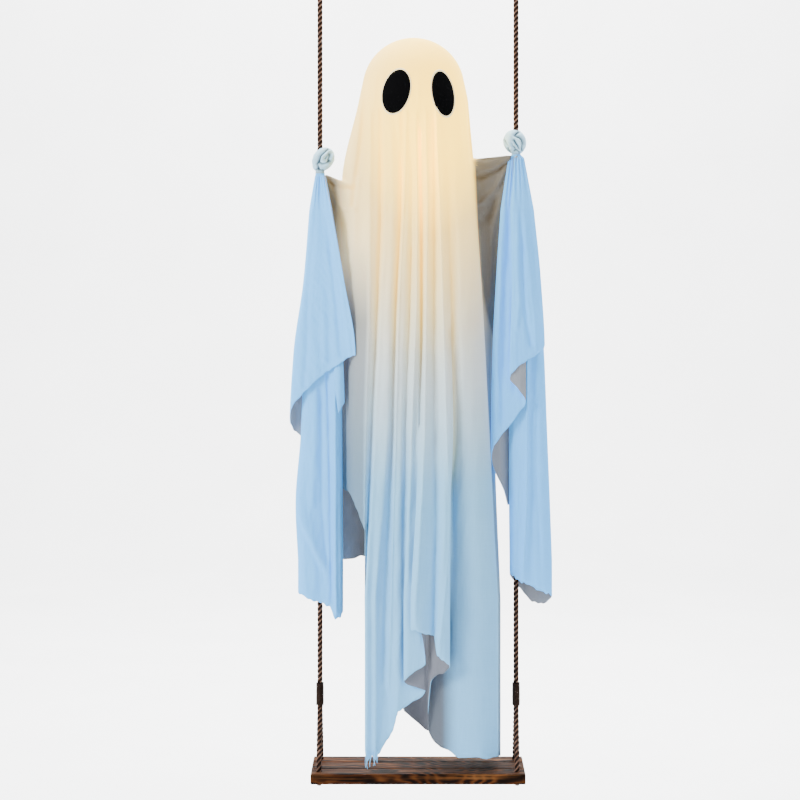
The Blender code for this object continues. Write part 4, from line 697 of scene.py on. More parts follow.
# Sharp folds that lie on the pleats: height towards the lens, reach to the left and right of the line, and
# the line as seen in the photograph.
BODY_CREASES = (
    (-2.6, 2.2, 2.2, (367, 62), (362, 133), (355, 183), (352.5, 205)),
    (2.0, 1.8, 1.8, (371, 112), (370, 220), (369.5, 310), (366, 430), (364.5, 500), (364, 525)),
    (-2.2, 2.0, 2.0, (381, 112), (381, 220), (377, 310), (375, 350), (371.5, 430), (370.5, 480), (368, 530)),
    (1.0, 3.0, 3.0, (392, 125), (391.5, 220), (387, 310), (381, 430), (377, 520), (375, 600)),
    (-2.4, 2.2, 2.2, (402.5, 118), (400.5, 220), (396, 300), (393.5, 370), (392.5, 430), (389.5, 480),
     (385.5, 600), (383, 680)),
    (2.0, 1.5, 1.5, (407, 115), (404, 200), (400, 270), (398, 330), (395.5, 430), (393, 520), (391, 600),
     (388.5, 690)),
    (-1.6, 1.8, 1.8, (411, 250), (409.5, 310), (407, 370), (405, 430), (404, 520), (403.5, 600), (404, 680)),
    (1.6, 2.2, 2.2, (416, 118), (418, 220), (417, 300), (414.5, 350), (412, 430), (409, 520), (408, 580)),
    (-3.4, 1.3, 1.3, (419.5, 130), (419.5, 170), (421, 230), (421.5, 350), (420, 400), (420, 425)),
    (2.2, 1.7, 1.7, (426, 118), (428, 200), (426.5, 290), (425, 430), (422, 500), (419.5, 540), (417, 580),
     (415, 622)),
    (-2.2, 2.2, 2.2, (433, 120), (433.5, 300), (433.5, 430), (437, 520), (436, 560), (433.5, 650)),
    (2.4, 1.6, 1.6, (436, 112), (440, 200), (443, 300), (446, 400), (449, 480), (450, 510), (449.5, 540),
     (447, 580), (444, 610), (439, 655)),
    (-2.4, 1.5, 3.0, (449, 330), (451, 430), (452.5, 500), (453, 540), (451, 590), (449, 620), (448, 650)),
    (0.9, 1.8, 1.8, (386, 56), (384, 72), (383, 84)),
    (0.9, 1.8, 1.8, (377, 70), (375, 100), (373, 118)),
    (0.7, 2.0, 2.0, (418, 84), (418.5, 104), (418, 120)),
    (0.9, 1.8, 1.8, (456, 84), (459, 120), (462, 150)),
    (2.0, 2.5, 2.5, (358, 179), (354.7, 212), (353, 250), (345, 277)),
    (2.2, 1.6, 1.6, (323, 174), (333, 178), (341.5, 181.5)),
    (-4.0, 1.8, 2.6, (324, 176.5), (335, 185.5), (345, 187.5), (353, 187.5)),
    (2.6, 2.0, 2.0, (325, 179), (336.5, 202), (345, 209), (354, 209.5)),
    (-2.4, 2.5, 2.5, (326, 182), (334, 208), (340, 222), (347, 228)),
    (2.4, 1.6, 1.6, (513, 157), (495.7, 167.6), (485, 170.5), (477, 170)),
    (-4.2, 2.4, 2.0, (511, 161), (495, 172), (482.4, 177), (476, 177)),
    (2.8, 1.8, 1.8, (512, 159), (497.3, 187.5), (482.4, 202.5), (475, 205)),
    (-4.2, 2.6, 2.6, (511, 163), (499.5, 190), (490.7, 213), (480.4, 224)),
    (1.8, 2.2, 2.2, (507, 171), (498.5, 202), (492, 240), (490, 300)))


def creased(across, down, creases):
    """Heights of folds drawn as lines, steep or gentle on either side."""
    total = np.zeros(np.shape(across))
    for height, left_reach, right_reach, *points in creases:
        nearest = np.full(np.shape(across), np.inf)
        width = np.full(np.shape(across), 1.0)
        for start, stop in zip(points[:-1], points[1:]):
            run, drop = stop[0] - start[0], stop[1] - start[1]
            right, below = across - start[0], down - start[1]
            share = np.clip((right * run + below * drop) / (run * run + drop * drop), 0.0, 1.0)
            reach = np.hypot(right - share * run, below - share * drop)
            side = np.where(run * below - drop * right > 0, left_reach, right_reach)
            width = np.where(reach < nearest, side, width)
            nearest = np.minimum(reach, nearest)
        total += height * np.exp(-(nearest / width) ** 2)
    return total


def rising(value, start, stretch):
    """0 up to the start and 1 past this stretch of it, straight between; downwards if it is below 0."""
    return np.clip((value - start) / stretch, 0.0, 1.0)


def straight_across(values, places, closed):
    """Values read between their places on straight lines, for hems that turn sharply."""
    return np.interp(places, np.arange(len(values)), values, period=len(values) if closed else None)


def eased_down(levels, columns, downs):
    """Each column's value at its own rows, on a smooth curve that doesn't overshoot its levels."""
    levels = np.asarray(levels, dtype=float)
    steps = np.diff(levels)
    rises = np.diff(columns, axis=1) / steps
    slopes = np.zeros_like(columns)
    product, total = rises[:, :-1] * rises[:, 1:], rises[:, :-1] + rises[:, 1:]
    slopes[:, 1:-1] = np.where(product > 0, 2 * product / np.where(product > 0, total, 1), 0)
    slopes[:, 0], slopes[:, -1] = rises[:, 0], rises[:, -1]
    at_level = np.clip(np.searchsorted(levels, downs, side="right") - 1, 0, len(levels) - 2)
    width = steps[at_level]
    t = np.clip((downs - levels[at_level]) / width, 0.0, 1.0)
    rows = np.arange(columns.shape[0])
    low, high = columns[rows, at_level], columns[rows, at_level + 1]
    low_slope, high_slope = slopes[rows, at_level] * width, slopes[rows, at_level + 1] * width
    return (
        (2 * t ** 3 - 3 * t ** 2 + 1) * low + (t ** 3 - 2 * t ** 2 + t) * low_slope
        + (-2 * t ** 3 + 3 * t ** 2) * high + (t ** 3 - t ** 2) * high_slope)


def soft_field(seed, across, down, size):
    """Smooth made-up unevenness, from -1 to 1, over a cloth's columns and rows."""
    rng = np.random.default_rng(seed)
    total = np.zeros(np.broadcast(across, down).shape)
    for _ in range(7):
        angle = rng.uniform(0, math.tau)
        length = size * rng.uniform(0.7, 1.8)
        along = across * math.cos(angle) + down * math.sin(angle)
        total += np.sin(along * math.tau / length + rng.uniform(0, math.tau))
    return total / 3.5


def seen_points(across, down, toward, narrowing=1.0):
    """The places of pixels, these many nearer than the ropes' plane, with the view's narrowing or less."""
    nearer = toward * METRES_PER_PIXEL
    shrink = METRES_PER_PIXEL * (1 - narrowing * nearer / VIEW_DISTANCE)
    return np.stack(np.broadcast_arrays(
        VIEW_X + (across - VANISHING_PIXEL[0]) * shrink, -nearer,
        VIEW_Z - (down - VANISHING_PIXEL[1]) * shrink), axis=-1)


def row_mesh(name, rows, closed=False, threads=(1.0, 1.0)):
    """A mesh object from rows of points, with this many threads across and down in its UV map."""
    faces, uvs = grid_faces(np.arange(len(rows)) / len(rows) * threads[1], len(rows[0]), closed, threads[0])
    return mesh_object(name, np.concatenate(rows).tolist(), faces, uvs)


def crumpled(seeds, across, down, toward, long, short):
    """Two soft fields of long and of short unevenness, each by its size, its stretch down and its height."""
    total = 0.0
    for seed, side, (size, stretch, height) in zip(seeds, (across, across + toward), (long, short)):
        total = total + soft_field(seed, side, down * stretch, size) * height
    return total


def pleat_grid():
    """Each column's place in the pleats, its round on the head, and its across, depth and hem."""
    pleats = np.array(FRONT_PLEATS + BACK_PLEATS, dtype=float)
    places = np.arange(len(pleats) * PLEAT_PARTS) / PLEAT_PARTS
    fields = eased_across(pleats[:, :7], places, True)
    first = pleats[:, 0] - HEAD_CENTRE_PIXEL[0]
    depth = np.sqrt(np.maximum(0.0, CHEEK_ROUND_PIXEL ** 2 - first ** 2))
    depth[len(FRONT_PLEATS):] *= -1
    turns = np.arctan2(depth, first)
    head_round = unit(eased_across(np.stack([np.cos(turns), np.sin(turns)], axis=1), places, True))
    acrosses = fields[:, :5].copy()
    acrosses[:, 0] = HEAD_CENTRE_PIXEL[0] + CHEEK_ROUND_PIXEL * head_round[:, 0]
    rounds = CHEEK_ROUND_PIXEL * head_round[:, 1]
    upper, lower = fields[:, 5], fields[:, 6]
    depths = np.stack([rounds, rounds * 0.55 + upper * 0.45, upper, (upper + lower) / 2, lower], axis=1)
    return places, head_round, acrosses, depths, straight_across(pleats[:, 7], places, True)


def draped_sheet():
    """The rows of the sheet, from the crown to its stepped hem, and the painted shade and painted warm light
    of each point.
    """
    places, head_round, acrosses, depths, hems = pleat_grid()
    front_count = len(FRONT_PLEATS)
    count = front_count + len(BACK_PLEATS)
    none = np.zeros(len(places))
    rows, unlit, warm = [], [], []
    brow_angle = math.acos((HEAD_CENTRE_PIXEL[1] - BROW_PIXEL) / HEAD_ROUND_PIXEL)
    for angle in np.linspace(0.0, brow_angle, CROWN_ROWS)[1:]:
        out = HEAD_ROUND_PIXEL * math.sin(angle)
        rows.append(seen_points(
            HEAD_CENTRE_PIXEL[0] + out * head_round[:, 0],
            HEAD_CENTRE_PIXEL[1] - HEAD_ROUND_PIXEL * math.cos(angle), out * head_round[:, 1], 0.0))
        unlit.append(none)
        warm.append(none)
    in_front = places <= front_count - 1
    fades = []
    for far in (np.minimum(places, count - places), places - (front_count - 1)):
        front_fade, back_fade = (
            np.interp(np.abs(far), range(len(fade)), fade) for fade in (FRONT_FADE, BACK_FADE))
        fades.append(np.where(in_front, front_fade, back_fade))
    outer = rising(np.minimum(places + 0.4, front_count - 0.6 - places), 0.0, 1.0)
    downs_list = [
        np.full(len(places), level) for start, stop, number in SHEET_BANDS
        for level in np.linspace(start, stop, number)]
    for share in np.linspace(0.0, 1.0, DROP_ROWS)[1:]:
        ragged = 1.2 * soft_field(5, places * 9, np.zeros(1), 7.0) * share ** 6
        downs_list.append(WAIST_PIXEL + (hems + ragged - WAIST_PIXEL) * share)
    for downs in downs_list:
        neck = rising(downs, CHEEK_PIXEL, BROW_PIXEL - CHEEK_PIXEL)
        tighter = 1 - neck * (1 - HEAD_ROUND_PIXEL * math.sin(brow_angle) / CHEEK_ROUND_PIXEL)
        across = eased_down(PLEAT_LEVELS, acrosses, downs)
        across = HEAD_CENTRE_PIXEL[0] + (across - HEAD_CENTRE_PIXEL[0]) * tighter
        toward = eased_down(PLEAT_LEVELS, depths, downs) * tighter
        lift, drawn = none.copy(), none
        for (most_room, heights, targets, shares, lifts), fade in zip((LEFT_PULL, RIGHT_PULL), fades):
            share = np.interp(downs, heights, shares) * fade
            across = across + (np.interp(downs, heights, targets) - across) * share
            room = most_room * np.maximum(0.25, rising(downs - lift, heights[0] - 8.0, 18.0))
            toward = toward * (1 - 0.6 * share) + np.where(in_front, 1, -1) * room * share
            lift += np.interp(downs, heights, lifts) * fade
            drawn = np.maximum(drawn, share)
        down = downs - lift
        crumple = crumpled((11, 12), across, down, toward, (11.0, 0.32, 0.45), (5.5, 0.5, 0.22))
        for gather_across, gather_down in GATHERS:
            reach = np.hypot(across - gather_across, down - gather_down)
            turn = np.arctan2(down - gather_down, across - gather_across)
            crumple = crumple + 1.1 * np.sin(turn * 17.0) * np.exp(-reach / 22.0) * rising(reach, 0.0, 9.0)
        folds = outer * creased(across, down, BODY_CREASES)
        toward = toward + np.sign(toward + 0.001) * crumple * rising(downs, FREE_PIXEL, 90.0) + folds
        clear = np.sqrt(np.maximum(0.0, BAR_CLEAR_PIXEL ** 2 - (down - BAR_PIXEL) ** 2))
        clear *= rising(drawn, 0.0, 0.125)
        toward = np.where(in_front, np.maximum(toward, clear), np.minimum(toward, -clear))

        # Painted shade, as each point's unlit share: beside the left lap, on the rim tucked in by the right
        # knot, under the flaps, faintly on the right panel, and on the webs drawn to the knots.
        low = rising(down, EDGE_SHADE_DOWN, 80.0)
        right_panel = (places > PANEL_PLEAT) & (places < front_count - 3)
        behind_flaps = (places > PANEL_PLEAT - 0.5) & (places < front_count - 3)
        beside = 0.72 * low * rising(places, EDGE_SHADE_PLEAT, -0.9)
        tucked_shade = 0.8 * rising(np.abs(places - front_count + 2.0), 1.8, -1.8)
        tucked_shade = tucked_shade * rising(down, TUCK_SHADE_DOWN, 40.0)
        under = 0.97 * rising(across, PANEL_SHADE_ACROSS, -17.0) * rising(down, PANEL_SHADE_DOWN, 90.0)
        web_shade = np.where(
            across < WEBS_PART, 0.86 * rising(drawn, 0.03, 1 / 2.2), 0.95 * rising(drawn, 0.015, 0.125))
        unlit.append(np.maximum.reduce([web_shade, beside, tucked_shade, under * behind_flaps, 0.14 * low * right_panel]))
        # Painted warm light: a streak along one fold of the right panel, and warmth in the crease valleys,
        # none where the cloth is drawn to a knot.
        warm_line = np.exp(-((across - WARM_LINE) / 3.6) ** 2) * np.interp(down, WARM_LINE_DOWN, (0, 1, 1, 0))
        warm_line = warm_line * ((places > PANEL_PLEAT - 2) & (places < front_count - 4))
        warm_folds = 0.7 * rising(-folds, 0.0, 3.0) * np.interp(down, WARM_FOLDS_DOWN, (0, 1, 0.8, 0))
        warm.append(np.maximum(warm_line, warm_folds) * rising(drawn, 0.5, -0.5))
        share = rising(downs, CHEEK_PIXEL, 60.0)
        rows.append(seen_points(across, down, toward, share * share * (3 - 2 * share)))
    return rows, unlit, warm


def close_rings(piece, rings, columns):
    """Close each of these rings of the piece's own grid with a fan."""
    shape = bmesh.new()
    shape.from_mesh(piece.data)
    shape.verts.ensure_lookup_table()
    edges = [[shape.verts[ring * columns + number] for number in range(columns)] for ring in rings]
    for ring in edges:
        middle = shape.verts.new(sum((vert.co for vert in ring), Vector()) / columns)
        for number in range(columns):
            shape.faces.new((middle, ring[number], ring[(number + 1) % columns]))
    bmesh.ops.recalc_face_normals(shape, faces=shape.faces)
    shape.to_mesh(piece.data)
    shape.free()


def slit_for_bar(piece):
    """Open a cloth where the shoulder bar passes through it, between the ropes."""
    shape = bmesh.new()
    shape.from_mesh(piece.data)
    met = []
    for face in shape.faces:
        middle = face.calc_center_median()
        if abs(middle.x) < ROPE_SPAN / 2 - 0.003 and math.hypot(middle.y, middle.z + BAR_DROP) < BAR_ROOM:
            met.append(face)
    bmesh.ops.delete(shape, geom=met, context="FACES")
    shape.to_mesh(piece.data)
    shape.free()


def select_only(*pieces):
    """Select just these pieces, and make the last one active."""
    bpy.ops.object.select_all(action="DESELECT")
    for piece in pieces:
        piece.select_set(True)
    bpy.context.view_layer.objects.active = pieces[-1]


def thicken(piece):
    """Give a cloth its thickness inwards; its inner side takes the second material, a copy of the cloth with
    painted shade.
    """
    select_only(piece)
    step = piece.modifiers.new("thickness", "SOLIDIFY")
    step.thickness = CLOTH_THICKNESS
    step.offset = -1
    step.material_offset = 1
    step.use_quality_normals = False
    bpy.ops.object.modifier_apply(modifier=step.name)
    piece.data.shade_smooth()


def weave_group():
    """A group for every piece of the cloth: crossing threads, slubs and soft creases, as one height."""
    made, start, end = group_of(
        "muslin_weave", [("Threads", "NodeSocketVector", None), ("Place", "NodeSocketVector", None)],
        [("Height", "NodeSocketFloat"), ("Slubs", "NodeSocketFloat")])
    across, down, _ = parts_of(made, start.outputs["Threads"])
    threads = maths(made, "MAXIMUM", ribs(made, across), ribs(made, down))
    slub = noise(made, stretched(made, start.outputs["Threads"], (0.9, 0.03, 1.0)), 1.0, 3.0, 0.6)
    cross_slub = noise(made, stretched(made, start.outputs["Threads"], (0.03, 0.9, 1.0)), 1.0, 3.0, 0.6)
    slubs = maths(made, "MULTIPLY", maths(made, "ADD", slub, cross_slub), 0.5)
    crease = noise(made, stretched(made, start.outputs["Place"], (1.0, 1.0, 0.4)), 55.0, 4.0, 0.55)
    height = maths(made, "ADD", maths(made, "MULTIPLY", threads, 0.12), maths(made, "MULTIPLY", slubs, 0.45))
    made.links.new(maths(made, "ADD", height, maths(made, "MULTIPLY", crease, 1.3)), end.inputs["Height"])
    made.links.new(slubs, end.inputs["Slubs"])
    return made


WEAVE = weave_group()
LAMP_STRETCH = 0.6
LAMP_PLACE = (HEAD_X + 0.022, -0.03, -0.385 * LAMP_STRETCH)
LAMP_REACH = 0.42
TINT_TOP = -0.2
TINT_DROP = 1.2
# Painted light on the white cloth: the warm tints at the head are the lamp's light, and the blues lower down,
# on the hanging sides and on the knots are the cool light falling there.
BODY_TINTS = (
    (0.0, (0.95, 0.80, 0.74)), (0.1, (0.95, 0.82, 0.68)), (0.28, (0.84, 0.80, 0.77)),
    (0.46, (0.66, 0.78, 0.82)), (0.64, (0.26, 0.60, 0.88)), (1.0, (0.20, 0.54, 0.90)))
SIDE_TINTS = ((0.0, (0.16, 0.48, 0.86)), (0.3, (0.125, 0.46, 0.92)), (1.0, (0.12, 0.45, 0.93)))
KNOT_TINTS = ((0.0, (0.42, 0.64, 0.76)), (1.0, (0.42, 0.64, 0.76)))
# Painted shade: the inside of the cloth, darker lower down, and the shadow colours for points marked unlit.
SHADE_TINTS = (
    (0.0, (0.42, 0.39, 0.35)), (0.4, (0.24, 0.25, 0.27)), (0.75, (0.20, 0.215, 0.25)),
    (0.95, (0.12, 0.13, 0.16)))
SHADOWS = ((0.0, (0.100, 0.108, 0.108)), (0.5, (0.095, 0.104, 0.124)))
KNOT_SHADOWS = ((0.0, (0.035, 0.06, 0.08)), (0.5, (0.035, 0.06, 0.08)))


def cloth_material(name, tints, glow, through=None, shadows=SHADOWS):
    """Muslin with painted light, warm at the head and blue below, a painted glow for the light through it,
    and painted shade where its points are unlit.
    """
    made, tree, shader, place = new_material(
        name, roughness=0.9, Specular_IOR_Level=0.2, Emission_Strength=glow)
    weave = tree.nodes.new("ShaderNodeGroup")
    weave.node_tree = WEAVE
    tree.links.new(threads_at(tree), weave.inputs["Threads"])
    tree.links.new(place, weave.inputs["Place"])
    height_share = maths(
        tree, "MULTIPLY_ADD", parts_of(tree, place)[2], -1.0 / TINT_DROP, TINT_TOP / TINT_DROP)
    patches = noise(tree, stretched(tree, place, (1.0, 1.0, 0.5)), 9.0, 3.0, 0.55)
    tint = toned(tree, 0.5, ramp(tree, height_share, tints), patches, ((0.3, (0.8, 0.87, 0.93)), (0.7, 1.0)))
    tint = toned(tree, 0.35, tint, weave.outputs["Slubs"], ((0.35, (0.75, 0.8, 0.85)), (0.6, 1.0)))
    # Painted warm light where the points are marked warm.
    tint = blend_colours(tree, value_of(tree, "warm"), tint, (1.0, 0.80, 0.54), mode="MULTIPLY")
    # Painted lamp light: near the lamp the colour turns yellow.
    if not through:
        away = tree.nodes.new("ShaderNodeVectorMath")
        away.operation = "DISTANCE"
        away.inputs[1].default_value = LAMP_PLACE
        tree.links.new(stretched(tree, place, (1.0, 1.0, LAMP_STRETCH)), away.inputs[0])
        reach = maths(tree, "DIVIDE", away.outputs["Value"], LAMP_REACH)
        tint = toned(tree, 1.0, tint, reach, (
            (0.0, (1.0, 0.76, 0.05)), (0.15, (1.0, 0.78, 0.13)), (0.3, (1.0, 0.86, 0.44)),
            (0.6, (1.0, 0.96, 0.9)), (1.0, 1.0)))
    # Painted shade: unlit points take the shadow colours.
    unlit = value_of(tree, "unlit")
    tint = blend_colours(tree, unlit, tint, ramp(tree, height_share, shadows))
    tree.links.new(tint, shader.inputs["Base Color"])
    # Painted glow: emission standing in for light through the cloth, the room's where a through tint is
    # given, else the lamp's by distance; none at unlit points.
    if through:
        light = blend_colours(tree, 1.0, tint, through, mode="MULTIPLY")
    else:
        light = ramp(tree, reach, (
            (0.0, (1.0, 0.60, 0.03)), (0.15, (0.80, 0.46, 0.025)), (0.28, (0.30, 0.165, 0.015)),
            (0.55, (0.06, 0.033, 0.008)), (0.9, 0.0)))
    light = blend_colours(tree, unlit, light, (0.0, 0.0, 0.0))
    tree.links.new(light, shader.inputs["Emission Color"])
    bumped(tree, shader, weave.outputs["Height"], 0.0016, 0.55)
    return made


# Each cloth's emission is painted glow; the inside is a copy of the cloth with painted shade.
outer_cloth = cloth_material("lit_muslin", BODY_TINTS, 5.0)
side_cloth = cloth_material("hanging_muslin", SIDE_TINTS, 0.45, through=(0.85, 1.0, 1.0))
knot_cloth = cloth_material("knotted_muslin", KNOT_TINTS, 0.3, through=(1.0, 1.0, 1.0), shadows=KNOT_SHADOWS)
shaded_inside_cloth = cloth_material("muslin_inside_painted_shade", SHADE_TINTS, 0.3, through=(1.0, 0.97, 0.95))

sheet_rows, unlit_rows, warm_rows = draped_sheet()
sheet = row_mesh("draped_sheet", sheet_rows, closed=True, threads=SHEET_THREADS)
point_values(sheet, "unlit", np.concatenate(unlit_rows))
point_values(sheet, "warm", np.concatenate(warm_rows))
close_rings(sheet, (0,), len(sheet_rows[0]))
sheet.data.materials.append(outer_cloth)
sheet.data.materials.append(shaded_inside_cloth)
slit_for_bar(sheet)
thicken(sheet)

# The torn tail's loose threads, each with its top and its foot across and down.
TAIL_THREADS = (
    ((365.2, 748), (365.9, 767.5)), ((366.4, 752), (367.1, 769)), ((368.0, 753), (366.2, 766)),
    ((369.6, 752), (369.9, 764)), ((371.5, 751), (370.0, 767)), ((373.2, 751), (374.6, 765.5)),
    ((375.3, 752), (373.4, 766)), ((377.0, 751), (377.6, 763)), ((379.2, 749), (376.4, 761)))
threads = []
for top, foot in TAIL_THREADS:
    share = np.linspace(0.0, 1.0, THREAD_POINTS)
    line = seen_points(
        top[0] + (foot[0] - top[0]) * share + 0.5 * np.sin(5 * share + top[0]),
        top[1] + (foot[1] - top[1]) * share, THREAD_TOWARD + np.sin(4 * share + foot[0]))
    facing = np.tile((0.0, -1.0, 0.0), (THREAD_POINTS, 1))
    threads.append(tube_mesh("thread", [(line, facing)], THREAD_ROUNDS, THREAD_RADIUS))
    threads[-1].data.materials.append(outer_cloth)
select_only(*threads, sheet)
bpy.ops.object.join()
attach(sheet, "swing")
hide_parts("ghost_sheet")


# The hanging sides. Below each knot the sheet's corner hangs round the rope as a loose sleeve, and over its
# front falls a lap, folded back from the same cloth, with its own shorter raw hem.

SIDE_LEVELS = (210.0, 280.0, 354.0, 430.0, 505.0, 560.0)
FLARE_ROOM_PIXEL = 4.0
FLARE_SHARE = 0.46
LOOSE_PIXEL = 190.0              # the cloth falls loose below this
FOLD_PARTS = 10                  # columns of points to a fold
RING_ROWS = 8
FALL_ROWS = 104
SLEEVE_THREADS = (260.0, 640.0)
LAP_THREADS = (120.0, 360.0)
NECK_TOP = {"left": 173.5, "right": 154.5}

# Each fold: across at the six levels, depth, and its hem. A sleeve's row runs all round its rope; a lap's row
# starts behind and turns under at its edges.
LEFT_SLEEVE = (
    (310, 306, 303.5, 301, 295.5, 298, 0, 592), (311, 309, 307, 305.5, 302, 303, 7, 596),
    (315, 314, 313, 313, 312, 312, 9, 600), (320, 320, 321, 322, 322, 322, 8, 603),
    (322, 325, 328, 330, 330, 330, 9.5, 607), (323, 328, 333, 334.5, 335, 335, 11.5, 620.5),
    (323.5, 331, 338.5, 339.5, 340.5, 341, 9.5, 616), (324.5, 333, 341.3, 342, 342.5, 343, 2, 608),
    (323, 329, 334, 335, 336, 336, -7, 580), (320, 323, 325, 326, 327, 327, -9, 565),
    (315, 316, 316, 315, 314, 314, -8, 560), (311.5, 310, 308, 306, 302, 304, -6, 572))
RIGHT_SLEEVE = (
    (511, 510, 509, 509, 509, 509.5, 0, 572), (512, 512, 512, 512, 513, 513, 7, 576),
    (514, 517, 518, 518, 518, 518, 9, 580), (517, 523, 526.5, 527, 525.5, 523.5, 12, 583),
    (521, 528, 531, 531, 531, 531, 8.5, 586), (525, 533, 537, 538, 538.5, 539, 9, 590),
    (527, 537, 542, 544, 546, 547, 6, 594), (527.5, 539, 544, 547, 550, 552, 0, 596),
    (524, 533, 537, 539, 542, 543, -7, 604), (519, 525, 528, 529, 531, 532, -9, 602),
    (513, 518, 518, 518, 519, 520, -8, 588), (512, 512, 511, 511, 511.5, 512, -6, 578))
LEFT_LAP = (
    (313, 308, 303, 302, 301, 301, -10, 437), (311, 305.5, 297, 294, 294, 294, -7.5, 431),
    (309.3, 303.5, 293.5, 289.7, 289.7, 289.7, -1, 420), (310, 304.5, 295, 291.5, 291.5, 291.5, 8, 407.5),
    (312.5, 309.5, 305, 303, 303, 303, 13, 393), (316, 316, 316.5, 316, 316, 316, 14, 380.5),
    (321, 323, 326.5, 327, 327, 327, 14, 371.5), (326, 331, 337, 338, 338, 338, 18.5, 365),
    (330, 339, 348, 348, 348, 348, 22, 358), (332, 344, 355.5, 355.5, 355.5, 355.5, 27, 354),
    (330.5, 340, 349.5, 349.5, 349.5, 349.5, 18.5, 356), (328.5, 334, 341.5, 342, 342, 342, 13.5, 361),
    (327, 329.5, 333.5, 334.5, 334.5, 334.5, 13.2, 374), (328.5, 332, 337.5, 338.5, 338.5, 338.5, 16.5, 413),
    (330.5, 337, 343, 345, 345, 345, 14.5, 402))
RIGHT_LAP = (
    (511, 510.5, 511.5, 512.5, 513, 513, -11, 503), (507, 506, 506, 507, 507.5, 507.5, -2, 505),
    (503, 499.5, 499, 500, 502, 502, 8, 486),
    (500.5, 496, 492.5, 491.3, 492, 492, 13, 462), (502.5, 498.5, 495, 494, 494, 494, 16.5, 445),
    (507, 505, 503, 502, 502, 502, 16.5, 435), (511, 511.5, 511, 510, 510, 510, 16.5, 425),
    (515, 517, 519, 518, 518, 518, 17, 414), (519.5, 521.5, 525.5, 525.5, 525.5, 525.5, 18.5, 402),
    (516, 518, 519, 519, 519, 519, 21.5, 391), (510.5, 512, 510, 509.5, 509.5, 509.5, 22, 379),
    (512.5, 514.5, 513.5, 513.5, 513.5, 513.5, 24.5, 371.5), (518.5, 521.5, 522, 522, 522, 522, 24, 364),
    (524, 529, 532, 532, 532, 532, 22.5, 357.5), (529, 536, 539.5, 539.5, 539.5, 539.5, 19, 352),
    (534, 541, 545, 545, 545, 545, 12, 345))
LEFT_SLEEVE_CREASES = (
    (-2.2, 1.8, 1.8, (327, 372), (329, 420), (330, 470), (331, 540), (332, 600)),
    (1.8, 1.8, 1.8, (335, 372), (335.5, 470), (335.5, 540), (336, 612)),
    (1.5, 4.0, 4.0, (315, 400), (314, 470), (312, 505)),
    (-1.4, 2.5, 2.5, (321.5, 390), (322, 460), (322, 510), (327, 560)),
    (3.4, 0.9, 7.0, (293, 500), (300, 521), (310, 543), (322, 567)))
RIGHT_SLEEVE_CREASES = (
    (2.4, 1.2, 2.5, (527, 362), (527, 450), (526, 520), (523, 569)),
    (-2.0, 1.5, 1.5, (510.5, 425), (510, 470), (510.5, 515)),
    (1.5, 3.0, 3.0, (517, 420), (517, 500), (516, 560)),
    (-1.4, 2.5, 2.5, (536, 400), (537, 480), (541, 570)),
    (1.8, 0.9, 1.6, (511, 563), (517, 567), (523, 569)),
    (-1.8, 1.1, 1.1, (512, 571.5), (520, 572)))
LEFT_LAP_CREASES = (
    (-2.0, 3.0, 3.0, (317, 190), (312, 240), (308.5, 290), (307, 350), (305, 385)),
    (2.0, 4.0, 4.0, (320, 190), (321, 240), (323, 300), (325, 360)),
    (-1.6, 2.5, 2.5, (324, 200), (330, 250), (337, 310), (341, 355)),
    (1.4, 2.0, 2.0, (325.5, 200), (333, 240), (342, 290), (350, 352)))
RIGHT_LAP_CREASES = (
    (2.0, 2.5, 2.5, (516, 165), (517.5, 220), (518, 270), (519, 304), (516.6, 327)),
    (-2.2, 2.5, 2.5, (519, 165), (521, 230), (524, 304), (531, 344)),
    (1.5, 2.5, 2.5, (521, 170), (527, 240), (535, 320), (537, 350)),
    (-1.6, 3.0, 3.0, (511, 170), (509, 230), (506, 300), (503, 370), (502, 420)),
    (1.2, 2.5, 2.5, (507, 180), (501, 250), (498, 330), (497, 430)))


def rope_pixel(side):
    """How far across the photograph has this side's rope."""
    return SWING_CENTRE_PIXEL + side * ROPE_SPAN / 2 / METRES_PER_PIXEL


